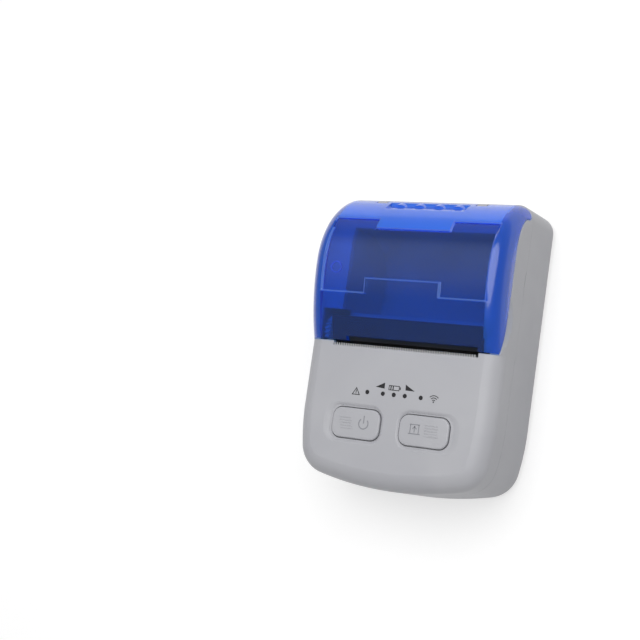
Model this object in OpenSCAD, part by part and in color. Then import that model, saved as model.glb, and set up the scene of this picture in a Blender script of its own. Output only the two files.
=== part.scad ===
// Portable thermal receipt printer for 58 mm paper, lying on its flat back.
// Millimetres. X runs across the width, +Y to the paper roll end, +Z out of the key panel.
// The origin is on the back, under the middle of the housing.

/* [Housing] */
// Overall width across the side walls
body_w = 80; // [78:1:86]
// Overall length from the key end to the roll end
body_l = 111; // [109:1:118]
// Height of the key panel above the back
panel_h = 38.5; // [38:0.5:41]
// Height of the parting line between the two housing shells
parting_h = 25; // [24.6:0.2:25.4]
// Wall thickness of both housing shells
shell_wall = 2; // [1.6:0.1:2.2]
// Rounding along the back edge of the lower shell
back_edge_r = 5; // [3:0.5:5.5]
// Rounding along the edge of the key panel
panel_edge_r = 6.5; // [4:0.5:8]
// Radius of the bowed key end, seen from above
key_end_bow = 130; // [100:5:250]
// Radius of the two corners at the key end
key_corner_r = 12; // [8:0.5:14]
// Radius of the slightly bowed side walls near the key end
side_bow = 90; // [80:5:160]
// Length over which the side walls draw in at the key end
taper_l = 29.5; // [20:0.5:34]
// Radius of the two corners at the roll end
roll_corner_r = 6.5; // [6:0.5:8]

/* [Arched cover] */
// Height of the crown of the cover above the key panel
arch_rise = 7; // [6.5:0.5:9]
// Distance of the crown of the cover in front of the roll end
crown_back = 27.5; // [27:0.5:28.5]
// Radius of the arch in front of the crown
front_arc_r = 76; // [70:1:82]
// Radius of the arch behind the crown
rear_arc_r = 29; // [28.5:0.5:30]
// Rounding of the cover's long edges
arch_edge_r = 7.2; // [6.2:0.5:8.2]
// Wall thickness of the cover
cover_wall = 2.2; // [1.8:0.1:2.6]
// Gap all round the closed cover
cover_gap = 0.4; // [0.3:0.05:0.5]
// Depth of the recessed panel in the cover
recess_depth = 0.8; // [0.4:0.1:1]
// Width of the recessed panel
recess_w = 68; // [60:1:70]
// Width of the stepped tabs in the middle of the recessed panel
recess_tab_w = 31; // [24:1:40]
// Depth of the flat grip cut on the roll end of the cover
grip_depth = 1.2; // [0.6:0.1:1.4]
// Number of round grip ribs on that cut
grip_ribs = 4; // [3:1:5]
// Distance between two grip ribs
grip_pitch = 8.1; // [6.8:0.1:8.4]

/* [Cover hinge] */
// Outer radius of the hinge barrel
barrel_r = 2.5; // [2.2:0.1:2.8]
// Diameter of the hinge pin
hinge_pin_d = 2; // [1.6:0.1:2.2]
// Width of each of the two housing lugs on the pin
lug_w = 4; // [3:0.5:5]
// Distance of each lug from the middle
lug_x = 21; // [20:0.5:24]

/* [Paper path] */
// Width of the paper
paper_w = 57.5; // [50:0.5:58]
// Distance that the whole print line is set off to the right
print_x = 1.5; // [1:0.1:2]
// Position of the paper slot along the body
slot_y = -2.5; // [-3:0.1:-2]
// Clear width of the slot in front of the cover
slot_gap = 1.6; // [1.4:0.1:2]
// Radius of the trough that holds the paper roll
roll_r = 19.5; // [17:0.5:19.5]
// Wall thickness of the paper bin
bin_wall = 1.5; // [1.2:0.1:1.6]
// Pitch of the teeth on the tear bar
tear_pitch = 1; // [0.8:0.1:1.5]

/* [Platen and head] */
// Diameter of the rubber platen
platen_d = 9.6; // [9:0.1:9.8]
// Diameter of the platen shaft
shaft_d = 3; // [2.5:0.1:3.2]
// Depth of the platen axis below the key panel
platen_drop = 6.5; // [6.3:0.1:6.7]
// Outer diameter of the platen bushes
bush_d = 5.5; // [5.2:0.1:5.6]
// Distance of the head pivot below the platen axis
head_pivot_drop = 5; // [4.8:0.1:5.2]
// Diameter of the head pivot pin
head_pin_d = 2; // [1.5:0.1:2.2]

/* [Gear train] */
// Gear module
gear_m = 0.5; // [0.5:0.05:0.5]
// Teeth of the platen gear
platen_teeth = 20; // [20:2:20]
// Teeth of the small half of the reduction gear
small_teeth = 16; // [16:2:16]
// Teeth of the large half of the reduction gear
large_teeth = 30; // [28:2:30]
// Teeth of the motor pinion
pinion_teeth = 12; // [12:1:14]
// Thickness of the platen gear and of the small half
gear_w = 2; // [1.6:0.1:2]
// Diameter of the motor body
motor_d = 15; // [13:0.5:15]
// Length of the motor body
motor_l = 14; // [12:0.5:18]

/* [Keys and lamps] */
// Width of a key
key_w = 20; // [16:0.5:21]
// Height of a key on the panel
key_d = 11.3; // [9:0.1:12]
// Corner radius of a key
key_r = 3.6; // [2:0.1:4.5]
// Distance of each key's middle from the middle of the panel
key_x = 14.1; // [13:0.1:14.6]
// Position of the keys along the body
key_y = -32.4; // [-34:0.1:-31]
// Height of the keys above the panel
key_proud = 0.4; // [0.2:0.1:0.6]
// Travel of the keys
key_travel = 0.5; // [0.3:0.1:0.6]
// Gap round a key
key_gap = 0.35; // [0.25:0.05:0.5]
// Position of the lamps along the body
lamp_y = -20.3; // [-21.5:0.1:-19.5]
// Diameter of a lamp's light pipe
lamp_d = 1.5; // [1.2:0.1:2]

/* [Battery] */
// Width of the battery pack
battery_w = 50; // [44:0.5:50]
// Length of the battery pack
battery_l = 32; // [26:0.5:32]
// Thickness of the battery pack
battery_t = 18; // [12:0.5:18]
// Travel of the battery cover before it lifts off
door_travel = 8; // [6:0.5:9]

/* [Hidden] */
$fn = 48;

shell_grey = "#b4b5bb";
cover_blue = "#2340b4";
part_black = "#202124";
steel = "#c8cacd";

half_w = body_w / 2;
key_end = -body_l / 2;
roll_end = body_l / 2;
seat = 0.3;
fit = 0.05;

// Cover outline in the side view
arch_h = panel_h + arch_rise;
crown_y = roll_end - crown_back;
rear_arc_z = arch_h - rear_arc_r;
cover_front = slot_y + slot_gap / 2;
panel_end = cover_front - cover_gap;
tear_y = slot_y - slot_gap / 2;

// Top of the housing cheeks that the cover closes on
cheek_h = panel_h - 2.5;
cheek_r = 15.2;

// Hinge axis of the cover
hinge_z = parting_h + cover_gap + barrel_r;
hinge_y = crown_y + sqrt(pow(rear_arc_r, 2) - pow(hinge_z - rear_arc_z, 2)) - barrel_r - 0.1;
cheek_rear = hinge_y - 0.6;
pin_end = half_w - 5.5;

// Platen, and the direction in which it leaves its nest when the cover opens
platen_z = panel_h - platen_drop;
platen_y = slot_y + platen_d / 2 + 0.1;
lift = [platen_z - hinge_z, hinge_y - platen_y] / norm([platen_z - hinge_z, hinge_y - platen_y]);
reduction_dist = gear_m * (platen_teeth + small_teeth) / 2;
reduction_at = [platen_y, platen_z] - reduction_dist * lift;
pinion_dist = gear_m * (large_teeth + pinion_teeth) / 2;
pinion_dir = 217;
motor_at = reduction_at + pinion_dist * [cos(pinion_dir), sin(pinion_dir)];

// Stations across the width, from the print line outwards
left_in = print_x - paper_w / 2 - 0.45;
right_in = print_x + paper_w / 2 + 0.45;
plate_t = 1.6;
frame_t = 1.5;
left_plate = left_in - plate_t;
right_plate = right_in + plate_t;
left_frame = left_plate - seat - frame_t;
right_frame = right_plate + seat + frame_t;
gear_x = left_frame - 0.4;
train_x = gear_x - gear_w - 0.3;
train_w = 1.8;
slot_left = left_plate + 0.8;
slot_right = right_plate - 0.8;

// Print head, in front of the platen
head_face = slot_y;
head_t = 0.8;
sink_t = 2.5;
pivot_y = head_face - head_t - 1.3;
pivot_z = platen_z - head_pivot_drop;
knuckle_r = head_pin_d / 2 + 1.1;
crossbar_y = -8.4;

// Paper bin
roll_y = crown_y - 5.5;
roll_z = shell_wall + 0.2 + bin_wall + roll_r;
bin_front = platen_y + 8.1;
bin_lip_z = 27;

// Circuit board under the key panel
panel_in = panel_h - shell_wall;
board_top = panel_in - 5.5;
board_t = 1.6;
board_rear = -10;
switch_h = 3.5;
stem_z = panel_in - 1.1;
post_x = 24;
post_ys = [-15.5, -46.5];

// Battery bay
bay_w = battery_w + 1.6;
bay_rear = -17;
bay_wall = 1.5;
battery_z = shell_wall + seat;
bay_h = battery_z + battery_t + 0.7;
door_lip = 6;
tab_ys = [-24, -40];

// Screw posts
screw_at = [[half_w - 8.5, -44], [half_w - 7, roll_end - 8.5]];
screw_post_r = 3.2;
screw_seat_z = 15;
screw_tip_z = parting_h + 4;

usb_y = -26;
usb_w = 7.6;
usb_h = 3.6;

// Plan outline of the housing, made of tangent arcs; d is the inset
function arc(c, r, a0, a1, n) =
    [for (i = [0:n - 1]) let (a = a0 + (a1 - a0) * i / n) c + r * [cos(a), sin(a)]];
function meet(p, rp, q, rq, side) =
    let (v = q - p, l = norm(v), u = v / l, n = [-u.y, u.x],
         a = (rp * rp - rq * rq + l * l) / (2 * l))
    p + a * u + side * sqrt(rp * rp - a * a) * n;
function half_outline(d, rear_r) =
    let (end_c = [0, key_end + key_end_bow],
         side_c = [half_w - side_bow, key_end + taper_l],
         corner = meet(side_c, side_bow - key_corner_r, end_c, key_end_bow - key_corner_r, -1),
         a_end = atan2(corner.y - end_c.y, corner.x - end_c.x),
         a_side = atan2(corner.y - side_c.y, corner.x - side_c.x),
         rear_c = [half_w - rear_r, roll_end - rear_r])
    concat(arc(end_c, key_end_bow - d, -90, a_end, 4),
           arc(corner, key_corner_r - d, a_end, a_side, 7),
           arc(side_c, side_bow - d, a_side, 0, 3),
           arc(rear_c, rear_r - d, 0, 90, 8),
           [[half_w - rear_r, roll_end - d]]);
function outline(d, rear_r = roll_corner_r) =
    let (half = half_outline(d, rear_r), n = len(half))
    concat(half, [for (i = [n - 1:-1:1]) [-half[i].x, half[i].y]]);
function ring(d, z, rear_r = roll_corner_r) = [for (p = outline(d, rear_r)) [p.x, p.y, z]];

// Closed skin over a stack of rings
module loft(rings) {
    n = len(rings[0]);
    last = len(rings) - 1;
    polyhedron(
        points = [for (r = rings) each r],
        faces = concat(
            [[for (i = [0:n - 1]) i]],
            [for (k = [0:last - 1]) for (i = [0:n - 1]) let (j = (i + 1) % n)
                each [[k * n + i, (k + 1) * n + i, (k + 1) * n + j],
                      [k * n + i, (k + 1) * n + j, k * n + j]]],
            [[for (i = [n - 1:-1:0]) last * n + i]]),
        convexity = 6);
}

// Rings of the lower shell's outside and inside, each from the back upwards
function lower_skin(d, top) =
    let (r = back_edge_r - d)
    concat([for (a = [0:22.5:90]) ring(d + r * (1 - sin(a)), d + r * (1 - cos(a)))],
           [ring(d, top)]);
// Rings of the upper shell, from the parting line upwards. Only its panel end is kept, so its
// corners at the roll end are simply wide enough for the rounding of the panel's edge.
cut_corner_r = 12;
function upper_skin(d, bottom) =
    let (r = panel_edge_r - d, top = panel_h - d)
    concat([ring(d, bottom, cut_corner_r)],
           [for (a = [0:18:90])
               ring(d + r * (1 - cos(a)), top - r * (1 - sin(a)), cut_corner_r)]);
function reversed(list) = [for (i = [len(list) - 1:-1:0]) list[i]];

module lower_cup() {
    loft(concat(lower_skin(0, parting_h), reversed(lower_skin(shell_wall, parting_h))));
}
module upper_cup() {
    loft(reversed(concat(reversed(upper_skin(0, parting_h)),
                         upper_skin(shell_wall, parting_h))));
}

// Turns a drawing in the side view (first axis Y, second Z) into a solid along X
module across(x0, x1) {
    translate([x0, 0, 0]) rotate([90, 0, 90]) linear_extrude(x1 - x0) children();
}
// Round bar along X through a point of the side view
module bar(at, d, x0, x1) {
    translate([x0, at.x, at.y]) rotate([0, 90, 0]) cylinder(d = d, h = x1 - x0);
}
module box(x0, x1, y0, y1, z0, z1) {
    translate([x0, y0, z0]) cube([x1 - x0, y1 - y0, z1 - z0]);
}
module round_rect(w, d, r) {
    square([w - 2 * r, d], center = true);
    square([w, d - 2 * r], center = true);
    for (x = [-1, 1], y = [-1, 1]) translate([x * (w / 2 - r), y * (d / 2 - r)]) circle(r);
}

// Section of the arch across the width: r runs outwards, the long edges are round
module arch_section(r, d) {
    e = arch_edge_r - d;
    w = half_w - d;
    intersection() {
        union() {
            translate([0, -w]) square([r - e, 2 * w]);
            translate([0, -w + e]) square([r, 2 * (w - e)]);
            for (s = [-1, 1]) translate([r - e, s * (w - e)]) circle(e);
        }
        translate([0, -w]) square([r, 2 * w]);
    }
}
module arch_sector(at, r, d, a0, a1) {
    translate([0, at.x, at.y]) rotate([90, 0, 90])
        rotate_extrude(angle = a1 - a0, start = a0, $fn = 96) arch_section(r - d, d);
}
// Solid arched form of the roll end, inset by d
module arch_form(d) {
    arch_sector([crown_y, arch_h - front_arc_r], front_arc_r, d, 90, 130);
    arch_sector([crown_y, rear_arc_z], rear_arc_r, d, 0, 92);
}
// Side view of the cheeks, inset by d
module cheek_profile(d) {
    y0 = panel_end - 10;
    corner = [cheek_rear - cheek_r, cheek_h - cheek_r];
    translate([y0, 0]) square([corner.x - y0, cheek_h - d]);
    translate([y0, 0]) square([cheek_rear - d - y0, corner.y]);
    translate(corner) circle(cheek_r - d);
}
// Hinge barrel space round the axis
module hinge_bar(r, x0, x1) {
    bar([hinge_y, hinge_z], 2 * r, x0, x1);
}
// Finger scoop in the cheek below the cover's edge
module scoop(s) {
    r = 30;
    mouth = 13;
    translate([s * (half_w + sqrt(r * r - mouth * mouth)), crown_y - 18.4, cheek_h + 8.2])
        sphere(r, $fn = 96);
}

module upper_housing() {
    color(shell_grey) difference() {
        union() {
            intersection() {
                upper_cup();
                box(-half_w, half_w, key_end - 1, panel_end + 0.02, 0, panel_h + 1);
            }
            rear_shell();
            upper_posts();
            for (s = [-1, 1]) hinge_lug(s);
        }
        for (s = [-1, 1]) {
            key_window(s);
            intersection() {
                scoop(s);
                box(-half_w - 1, half_w + 1, panel_end + cover_gap, crown_y, parting_h, 60);
            }
            hinge_relief(s);
        }
        for (x = lamp_xs()) translate([x, lamp_y, panel_in - 1])
            cylinder(d = lamp_d + 2 * fit, h = shell_wall + 2);
        paper_mouth();
        bar([hinge_y, hinge_z], hinge_pin_d + 0.04, -half_w, half_w);
        box(-half_w - 1, -half_w + shell_wall + 1, usb_y - usb_w / 2 - 0.5,
            usb_y + usb_w / 2 + 0.5, usb_z() - 0.4, usb_z() + usb_h + 0.4);
        for (p = screw_at, s = [-1, 1]) translate([s * p.x, p.y, parting_h - 1])
            cylinder(d = 2.4, h = screw_tip_z + 0.5 - parting_h + 1);
        for (x = [-1, 1], y = post_ys) translate([x * post_x, y, board_top - 1])
            cylinder(d = 1.9, h = 5);
    }
}
function lamp_xs() = [-11.1, -4.55, 0, 4.55, 11.1];
function usb_z() = board_top - board_t - usb_h;

// Cheeks, deck and rear wall under the cover
module rear_shell() {
    difference() {
        intersection() {
            translate([0, 0, parting_h]) linear_extrude(20) polygon(outline(0));
            arch_form(0);
            across(-half_w, half_w) intersection() {
                cheek_profile(0);
                translate([panel_end, 0]) square(200);
            }
        }
        intersection() {
            translate([0, 0, parting_h - 1]) linear_extrude(21) polygon(outline(shell_wall));
            across(-half_w, half_w) cheek_profile(shell_wall);
        }
    }
}
// Mouth of the paper bin, with room for the platen and its gear
module paper_mouth() {
    box(left_in - 0.05, right_in + 0.05, panel_end - 1, roll_y + roll_r, cheek_h - 8, 50);
    box(train_x - train_w - 0.4, right_frame + 0.6, panel_end - 0.01, bin_front, cheek_h - 8, 50);
    box(slot_left, slot_right, tear_y, panel_end + 1, cheek_h - 3, 50);
}
// Window for a key, its shallow dished surround and the room for its flange
module key_window(s) {
    translate([s * key_x, key_y, panel_in - 1]) linear_extrude(shell_wall + 2)
        round_rect(key_w + 2 * key_gap, key_d + 2 * key_gap, key_r + key_gap);
    hull() {
        translate([s * (key_x + 0.6), key_y, panel_h - 0.5]) linear_extrude(0.1)
            round_rect(key_w + 1.6, key_d + 1.6, key_r + 0.8, $fn = 32);
        translate([s * (key_x + 1.2), key_y, panel_h + 0.02]) linear_extrude(0.1)
            round_rect(key_w + 5, key_d + 3.6, key_r + 1.8, $fn = 32);
    }
}
module upper_posts() {
    intersection() {
        union() {
            for (s = [-1, 1]) {
                for (p = screw_at) translate([s * p.x, p.y, parting_h])
                    cylinder(r = screw_post_r, h = panel_in - parting_h + 0.5);
            }
            for (x = [-1, 1], y = post_ys) translate([x * post_x, y, board_top])
                cylinder(d = 4.6, h = panel_in - board_top + 0.5);
        }
        union() {
            box(-half_w, half_w, key_end, panel_end, 0, panel_h - 0.5);
            across(-half_w, half_w) cheek_profile(0.6);
        }
        linear_extrude(60) polygon(outline(0.6));
    }
}
// Lug of the housing that carries the hinge pin
module hinge_lug(s) {
    x0 = s * lug_x - lug_w / 2;
    hinge_bar(barrel_r, x0, x0 + lug_w);
    box(x0, x0 + lug_w, cheek_rear - shell_wall - 0.5, hinge_y, hinge_z - barrel_r, hinge_z - 0.4);
}
// Room for the cover's barrel, left out at the lugs
module hinge_relief(s) {
    r = barrel_r + cover_gap;
    gap = 0.3;
    inner = s * (lug_x - lug_w / 2 - gap);
    outer = s * (lug_x + lug_w / 2 + gap);
    far = s * (half_w + 1);
    hinge_bar(r, min(0, inner), max(0, inner));
    hinge_bar(r, min(outer, far), max(outer, far));
}

module lower_housing() {
    color(shell_grey) difference() {
        union() {
            lower_cup();
            intersection() {
                bay_box(bay_w / 2 + bay_wall, bay_rear + bay_wall, bay_h + bay_wall);
                inner_block(shell_wall - 0.3, shell_wall - 0.5);
            }
            for (p = screw_at, s = [-1, 1]) translate([s * p.x, p.y, shell_wall - 0.5])
                cylinder(r = screw_post_r, h = parting_h - shell_wall + 0.5);
            frame_posts();
        }
        intersection() {
            bay_box(bay_w / 2, bay_rear, bay_h);
            inner_block(shell_wall, shell_wall);
        }
        box(-bay_w / 2, bay_w / 2, key_end - 1, bay_rear, -1, shell_wall + 1);
        box(-bay_w / 2, bay_w / 2, key_end - 1, key_end + 7, -1, door_lip + 0.3);
        for (y = tab_ys, s = [-1, 1]) tab_pocket(s, y);
        for (p = screw_at, s = [-1, 1]) translate([s * p.x, p.y, -1]) {
            cylinder(d = 5.6, h = screw_seat_z + 1);
            cylinder(d = 2.8, h = 60);
        }
        for (p = frame_screw_at()) translate([p.x, p.y, shell_wall])
            cylinder(d = 2, h = 20);
    }
}
module bay_box(w, rear, h) {
    box(-w, w, key_end - 1, rear, 0, h);
}
// Straight block within the walls, inset by d, from height z up to the parting line
module inner_block(d, z) {
    translate([0, 0, z]) linear_extrude(parting_h - z) polygon(outline(d));
}
function frame_screw_at() = [[left_frame + 3, 4], [right_frame - 3, 4], [right_frame - 3, -10]];
// Pillars that carry the mechanism frame
frame_foot_z = 7;
module frame_posts() {
    for (p = frame_screw_at()) translate([p.x, p.y, shell_wall - 0.5])
        cylinder(d = 5, h = frame_foot_z - shell_wall + 0.5);
}
// Room for one tab of the battery cover, open where the tab drops out
module tab_pocket(s, y) {
    x0 = s > 0 ? bay_w / 2 - 1 : -bay_w / 2 - 1.3;
    box(x0, x0 + 2.3, y - 5.3 - door_travel, y + 0.3, 1, shell_wall + 0.5);
    box(x0, x0 + 2.3, y - 5.3 - door_travel, y - 5.3, -1, shell_wall + 0.5);
}

module battery_cover() {
    g = 0.3;
    color(shell_grey) difference() {
        union() {
            intersection() {
                lower_cup();
                union() {
                    box(-bay_w / 2 + g, bay_w / 2 - g, key_end - 1, bay_rear - g, -1, shell_wall + 0.1);
                    box(-bay_w / 2 + g, bay_w / 2 - g, key_end - 1, key_end + 6.5, -1, door_lip);
                }
            }
            for (y = tab_ys, s = [-1, 1])
                box(s > 0 ? bay_w / 2 - 1 : -bay_w / 2 - 1, s > 0 ? bay_w / 2 + 1 : -bay_w / 2 + 1,
                    y - 5, y, 1.2, shell_wall);
        }
        for (i = [-2:2]) box(-7, 7, key_end + 12 + 2 * i, key_end + 12.8 + 2 * i, -1, 0.4);
    }
}
module battery_pack() {
    color("#3a3c42") translate([0, bay_rear - 0.7 - battery_l / 2, battery_z])
        linear_extrude(battery_t) round_rect(battery_w, battery_l, 2.5);
}
module battery_contacts() {
    color("#c9a24a") for (x = [-8, 0, 8])
        box(x - 1.5, x + 1.5, bay_rear - 0.5, bay_rear, battery_z + 3, battery_z + 12);
}

// Side view of the paper bin, grown by d
module bin_profile(d) {
    intersection() {
        union() {
            translate([roll_y, roll_z]) circle(roll_r + d, $fn = 96);
            translate([roll_y - roll_r - d, roll_z]) square([2 * (roll_r + d), 60]);
        }
        translate([bin_front - d, -10]) square([100, 110]);
    }
}
module paper_bin() {
    top = cheek_h - shell_wall - 0.2;
    color("#3c3f46") difference() {
        across(left_in - bin_wall, right_in + bin_wall) intersection() {
            bin_profile(bin_wall);
            cheek_profile(shell_wall + 0.2);
        }
        across(left_in, right_in) bin_profile(0);
        box(-60, 60, bin_front - 5, bin_front + 0.5, bin_lip_z, 60);
        box(left_in, right_in, bin_front, bin_front + 12, bin_lip_z, 60);
    }
}

module mechanism_frame() {
    color(part_black) difference() {
        union() {
            across(left_frame, left_frame + frame_t) frame_side();
            across(right_frame - frame_t, right_frame) frame_side();
            box(left_frame, right_frame, -13, 7, frame_foot_z, frame_foot_z + 2);
            box(left_frame, right_frame, crossbar_y - 1.2, crossbar_y, 24.9, 28.3);
            translate([left_frame, platen_y, platen_z]) rotate([90, 0, 90])
                rotate_extrude(angle = 85, start = 235)
                    translate([platen_d / 2 + 0.7, 0]) square([1.5, right_frame - left_frame]);
        }
        for (x = [left_frame, right_frame - frame_t]) {
            bar([platen_y, platen_z], bush_d + 0.3, x - 1, x + frame_t + 1);
            bar([pivot_y, pivot_z], head_pin_d + 0.04, x - 1, x + frame_t + 1);
        }
        bar(reduction_at, 2.04, left_frame - 1, left_frame + frame_t + 1);
        bar(motor_at, 2.4, left_frame - 1, left_frame + frame_t + 1);
        for (p = frame_screw_at()) translate([p.x, p.y, frame_foot_z - 1]) cylinder(d = 2.2, h = 5);
        box(print_x + 6, print_x + 10, 3.2, 6, 20, 30);
    }
}
module frame_side() {
    polygon([[crossbar_y - 1.2, frame_foot_z], [7, frame_foot_z], [8.2, 20], [8.2, platen_z - 2.5],
             [platen_y + 4.4, platen_z + 0.4], [platen_y - 3.8, platen_z + 0.4],
             [pivot_y - 3, pivot_z + 2.6], [crossbar_y - 1.2, pivot_z + 1.6]]);
}
module head_pivot_pin() {
    color(steel) bar([pivot_y, pivot_z], head_pin_d, left_frame, right_frame);
}
module reduction_axle() {
    color(steel) {
        bar(reduction_at, 2, train_x - train_w - 0.2, left_frame + frame_t);
        bar(reduction_at, 3.4, train_x - train_w - 0.7, train_x - train_w - 0.2);
    }
}
module motor_body() {
    x0 = left_frame + frame_t;
    color("#9a9da1") difference() {
        union() {
            bar(motor_at, motor_d, x0 + 0.8, x0 + motor_l);
            bar(motor_at, motor_d - 4, x0 + motor_l - 0.1, x0 + motor_l + 1.2);
            across(x0, x0 + 0.9) translate(motor_at) intersection() {
                circle(d = motor_d + 3);
                square([motor_d + 4, motor_d - 3], center = true);
            }
        }
        bar(motor_at, 1.6, x0 - 1, x0 + motor_l - 2);
    }
}
module motor_shaft() {
    color(steel) bar(motor_at, 1.5, train_x - train_w - 0.3, left_frame + frame_t + motor_l - 3);
}

// Involute gear drawing, with the middle of a tooth on the first axis
function involute(rb, r) = r <= rb ? 0 : tan(acos(rb / r)) * 180 / PI - acos(rb / r);
module gear(teeth, phase) {
    rp = gear_m * teeth / 2;
    rb = rp * cos(20);
    tip = rp + 0.8 * gear_m;
    root = rp - 1.15 * gear_m;
    slack = 0.1;
    half = 90 / teeth - slack / 2 / rp * 180 / PI + involute(rb, rp);
    flank = [for (i = [0:4]) let (r = root + (tip - root) * i / 4) [r, half - involute(rb, r)]];
    rotate(phase) polygon([for (t = [0:teeth - 1]) let (a = 360 * t / teeth) each concat(
        [for (p = flank) p[0] * [cos(a - p[1]), sin(a - p[1])]],
        [for (p = reversed(flank)) p[0] * [cos(a + p[1]), sin(a + p[1])]])]);
}
mesh_a = atan2(-lift.y, -lift.x);
module motor_pinion() {
    color("#d9d4c4") across(train_x - train_w, train_x) translate(motor_at) difference() {
        gear(pinion_teeth, pinion_dir + 180 + 180 / pinion_teeth);
        circle(d = 1.52);
    }
}
module reduction_gear() {
    color("#e3dfd2") difference() {
        union() {
            across(train_x - train_w, train_x) translate(reduction_at) gear(large_teeth, pinion_dir);
            across(train_x - 0.1, gear_x) translate(reduction_at)
                gear(small_teeth, mesh_a + 180 + 180 / small_teeth);
        }
        bar(reduction_at, 2.1, train_x - train_w - 1, gear_x + 1);
    }
}
module platen_gear() {
    color("#d9d4c4") across(gear_x - gear_w, gear_x) translate([platen_y, platen_z]) difference() {
        gear(platen_teeth, mesh_a);
        circle(d = shaft_d + 0.02);
    }
}

module print_head() {
    color("#ece9e2") box(left_in + 0.3, right_in - 0.3, head_face - head_t, head_face,
        pivot_z + knuckle_r + 0.2, platen_z + 3.4);
}
module head_heatsink() {
    color("#b9bcc0") difference() {
        union() {
            box(left_in + 0.1, right_in - 0.1, head_face - head_t - sink_t, head_face - head_t,
                pivot_z, platen_z + 3.9);
            for (x = [left_in + 0.1, right_in - 6.1]) bar([pivot_y, pivot_z], 2 * knuckle_r, x, x + 6);
            for (i = [0:5]) box(left_in + 4 + 9 * i, left_in + 7 + 9 * i,
                head_face - head_t - sink_t - 1, head_face - head_t - sink_t + 0.1,
                platen_z - 0.5, platen_z + 3.9);
        }
        bar([pivot_y, pivot_z], head_pin_d + 0.1, left_in - 1, right_in + 1);
        box(left_in + 6.3, right_in - 6.3, -20, 5, pivot_z - 5, pivot_z + 1);
    }
}
module head_spring() {
    y1 = head_face - head_t - sink_t;
    t = 0.3;
    color(steel) for (x = [-12, 15]) across(x - 3, x + 3)
        polygon([[y1, pivot_z + 2.2], [y1, pivot_z + 4.4], [y1 - t, pivot_z + 4.4],
                 [y1 - t, pivot_z + 2.6], [crossbar_y + 0.3, pivot_z + 1], [crossbar_y + 0.3, pivot_z - 1.2],
                 [crossbar_y + 0.3 + t, pivot_z - 1.2], [crossbar_y + 0.3 + t, pivot_z + 0.8],
                 [y1 - t, pivot_z + 2.2]]);
}
module head_flex() {
    z = board_top - board_t - 0.45;
    color("#c98f3c") box(print_x - 7, print_x + 7, -13, head_face - head_t - sink_t - 0.3, z, z + 0.15);
}
module flex_connector() {
    z = board_top - board_t;
    color("#e8e6df") difference() {
        box(print_x - 8.5, print_x + 8.5, -15.5, -11.5, z - 1.2, z);
        box(print_x - 7.2, print_x + 7.2, -13.05, -11, z - 0.5, z - 0.25);
    }
}
module paper_sensor() {
    color(part_black) box(print_x + 6.2, print_x + 9.8, 3.4, 5.8, 22.4, 25.6);
}
module tear_bar() {
    top = panel_h + 0.1;
    w = slot_right - slot_left - 0.4;
    count = floor(w / tear_pitch);
    color(steel) {
        box(slot_left + 0.2, slot_right - 0.2, tear_y, tear_y + 0.35, panel_in - 0.9, top - 0.5);
        translate([slot_left + 0.2, tear_y, top - 0.55]) rotate([90, 0, 0]) mirror([0, 0, 1])
            linear_extrude(0.35) polygon(concat([[0, 0]],
                [for (i = [0:count - 1]) each [[(i + 0.5) * tear_pitch, 0.85],
                    [(i + 1) * tear_pitch, 0.15]]],
                [[count * tear_pitch, 0]]));
    }
}

module main_board() {
    color("#2e6b43") difference() {
        translate([0, 0, board_top - board_t]) linear_extrude(board_t) intersection() {
            polygon(outline(shell_wall + 0.5));
            union() {
                translate([-60, -37]) square([120, board_rear + 37]);
                translate([-27.5, -60]) square([55, 50]);
            }
        }
        for (x = [-1, 1], y = post_ys) translate([x * post_x, y, 0]) cylinder(d = 2.1, h = 60);
    }
}
module board_chips() {
    z = board_top - board_t;
    color(part_black) {
        box(-18, -8, -44, -34, z - 1.4, z);
        box(6, 13, -42, -36, z - 1.2, z);
        box(18, 24, -28, -22, z - 1.2, z);
        box(-22, -17, -23, -18, z - 1, z);
        for (x = [-2, 3]) translate([x, -24, z - 5]) cylinder(d = 4, h = 5);
    }
}
module radio_module() {
    color("#b9bcc0") box(-7, 8, -50, -40, board_top, board_top + 2);
}
module board_screws() {
    color(steel) for (x = [-1, 1], y = post_ys) translate([x * post_x, y, board_top - board_t]) {
        cylinder(d = 1.8, h = 5);
        translate([0, 0, -1.2]) cylinder(d = 3.4, h = 1.2);
    }
}
module lamps() {
    color("#f4f4ec") for (x = lamp_xs())
        box(x - 0.8, x + 0.8, lamp_y - 0.5, lamp_y + 0.5, board_top, board_top + 0.8);
}
module light_pipes() {
    color("#26272a") for (x = lamp_xs()) translate([x, lamp_y, board_top + 1])
        cylinder(d = lamp_d, h = panel_h + 0.05 - board_top - 1);
}
module switch_bodies() {
    color(part_black) for (s = [-1, 1]) difference() {
        box(s * key_x - 3, s * key_x + 3, key_y - 3, key_y + 3, board_top, board_top + switch_h);
        translate([s * key_x, key_y, board_top + switch_h - 1.5]) cylinder(d = 3.6, h = 3);
    }
}
module plunger(s) {
    z = board_top + switch_h - 1.5 + key_travel + 0.1;
    color("#e8e6df") translate([s * key_x, key_y, z]) cylinder(d = 3.4, h = stem_z - z);
}
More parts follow.
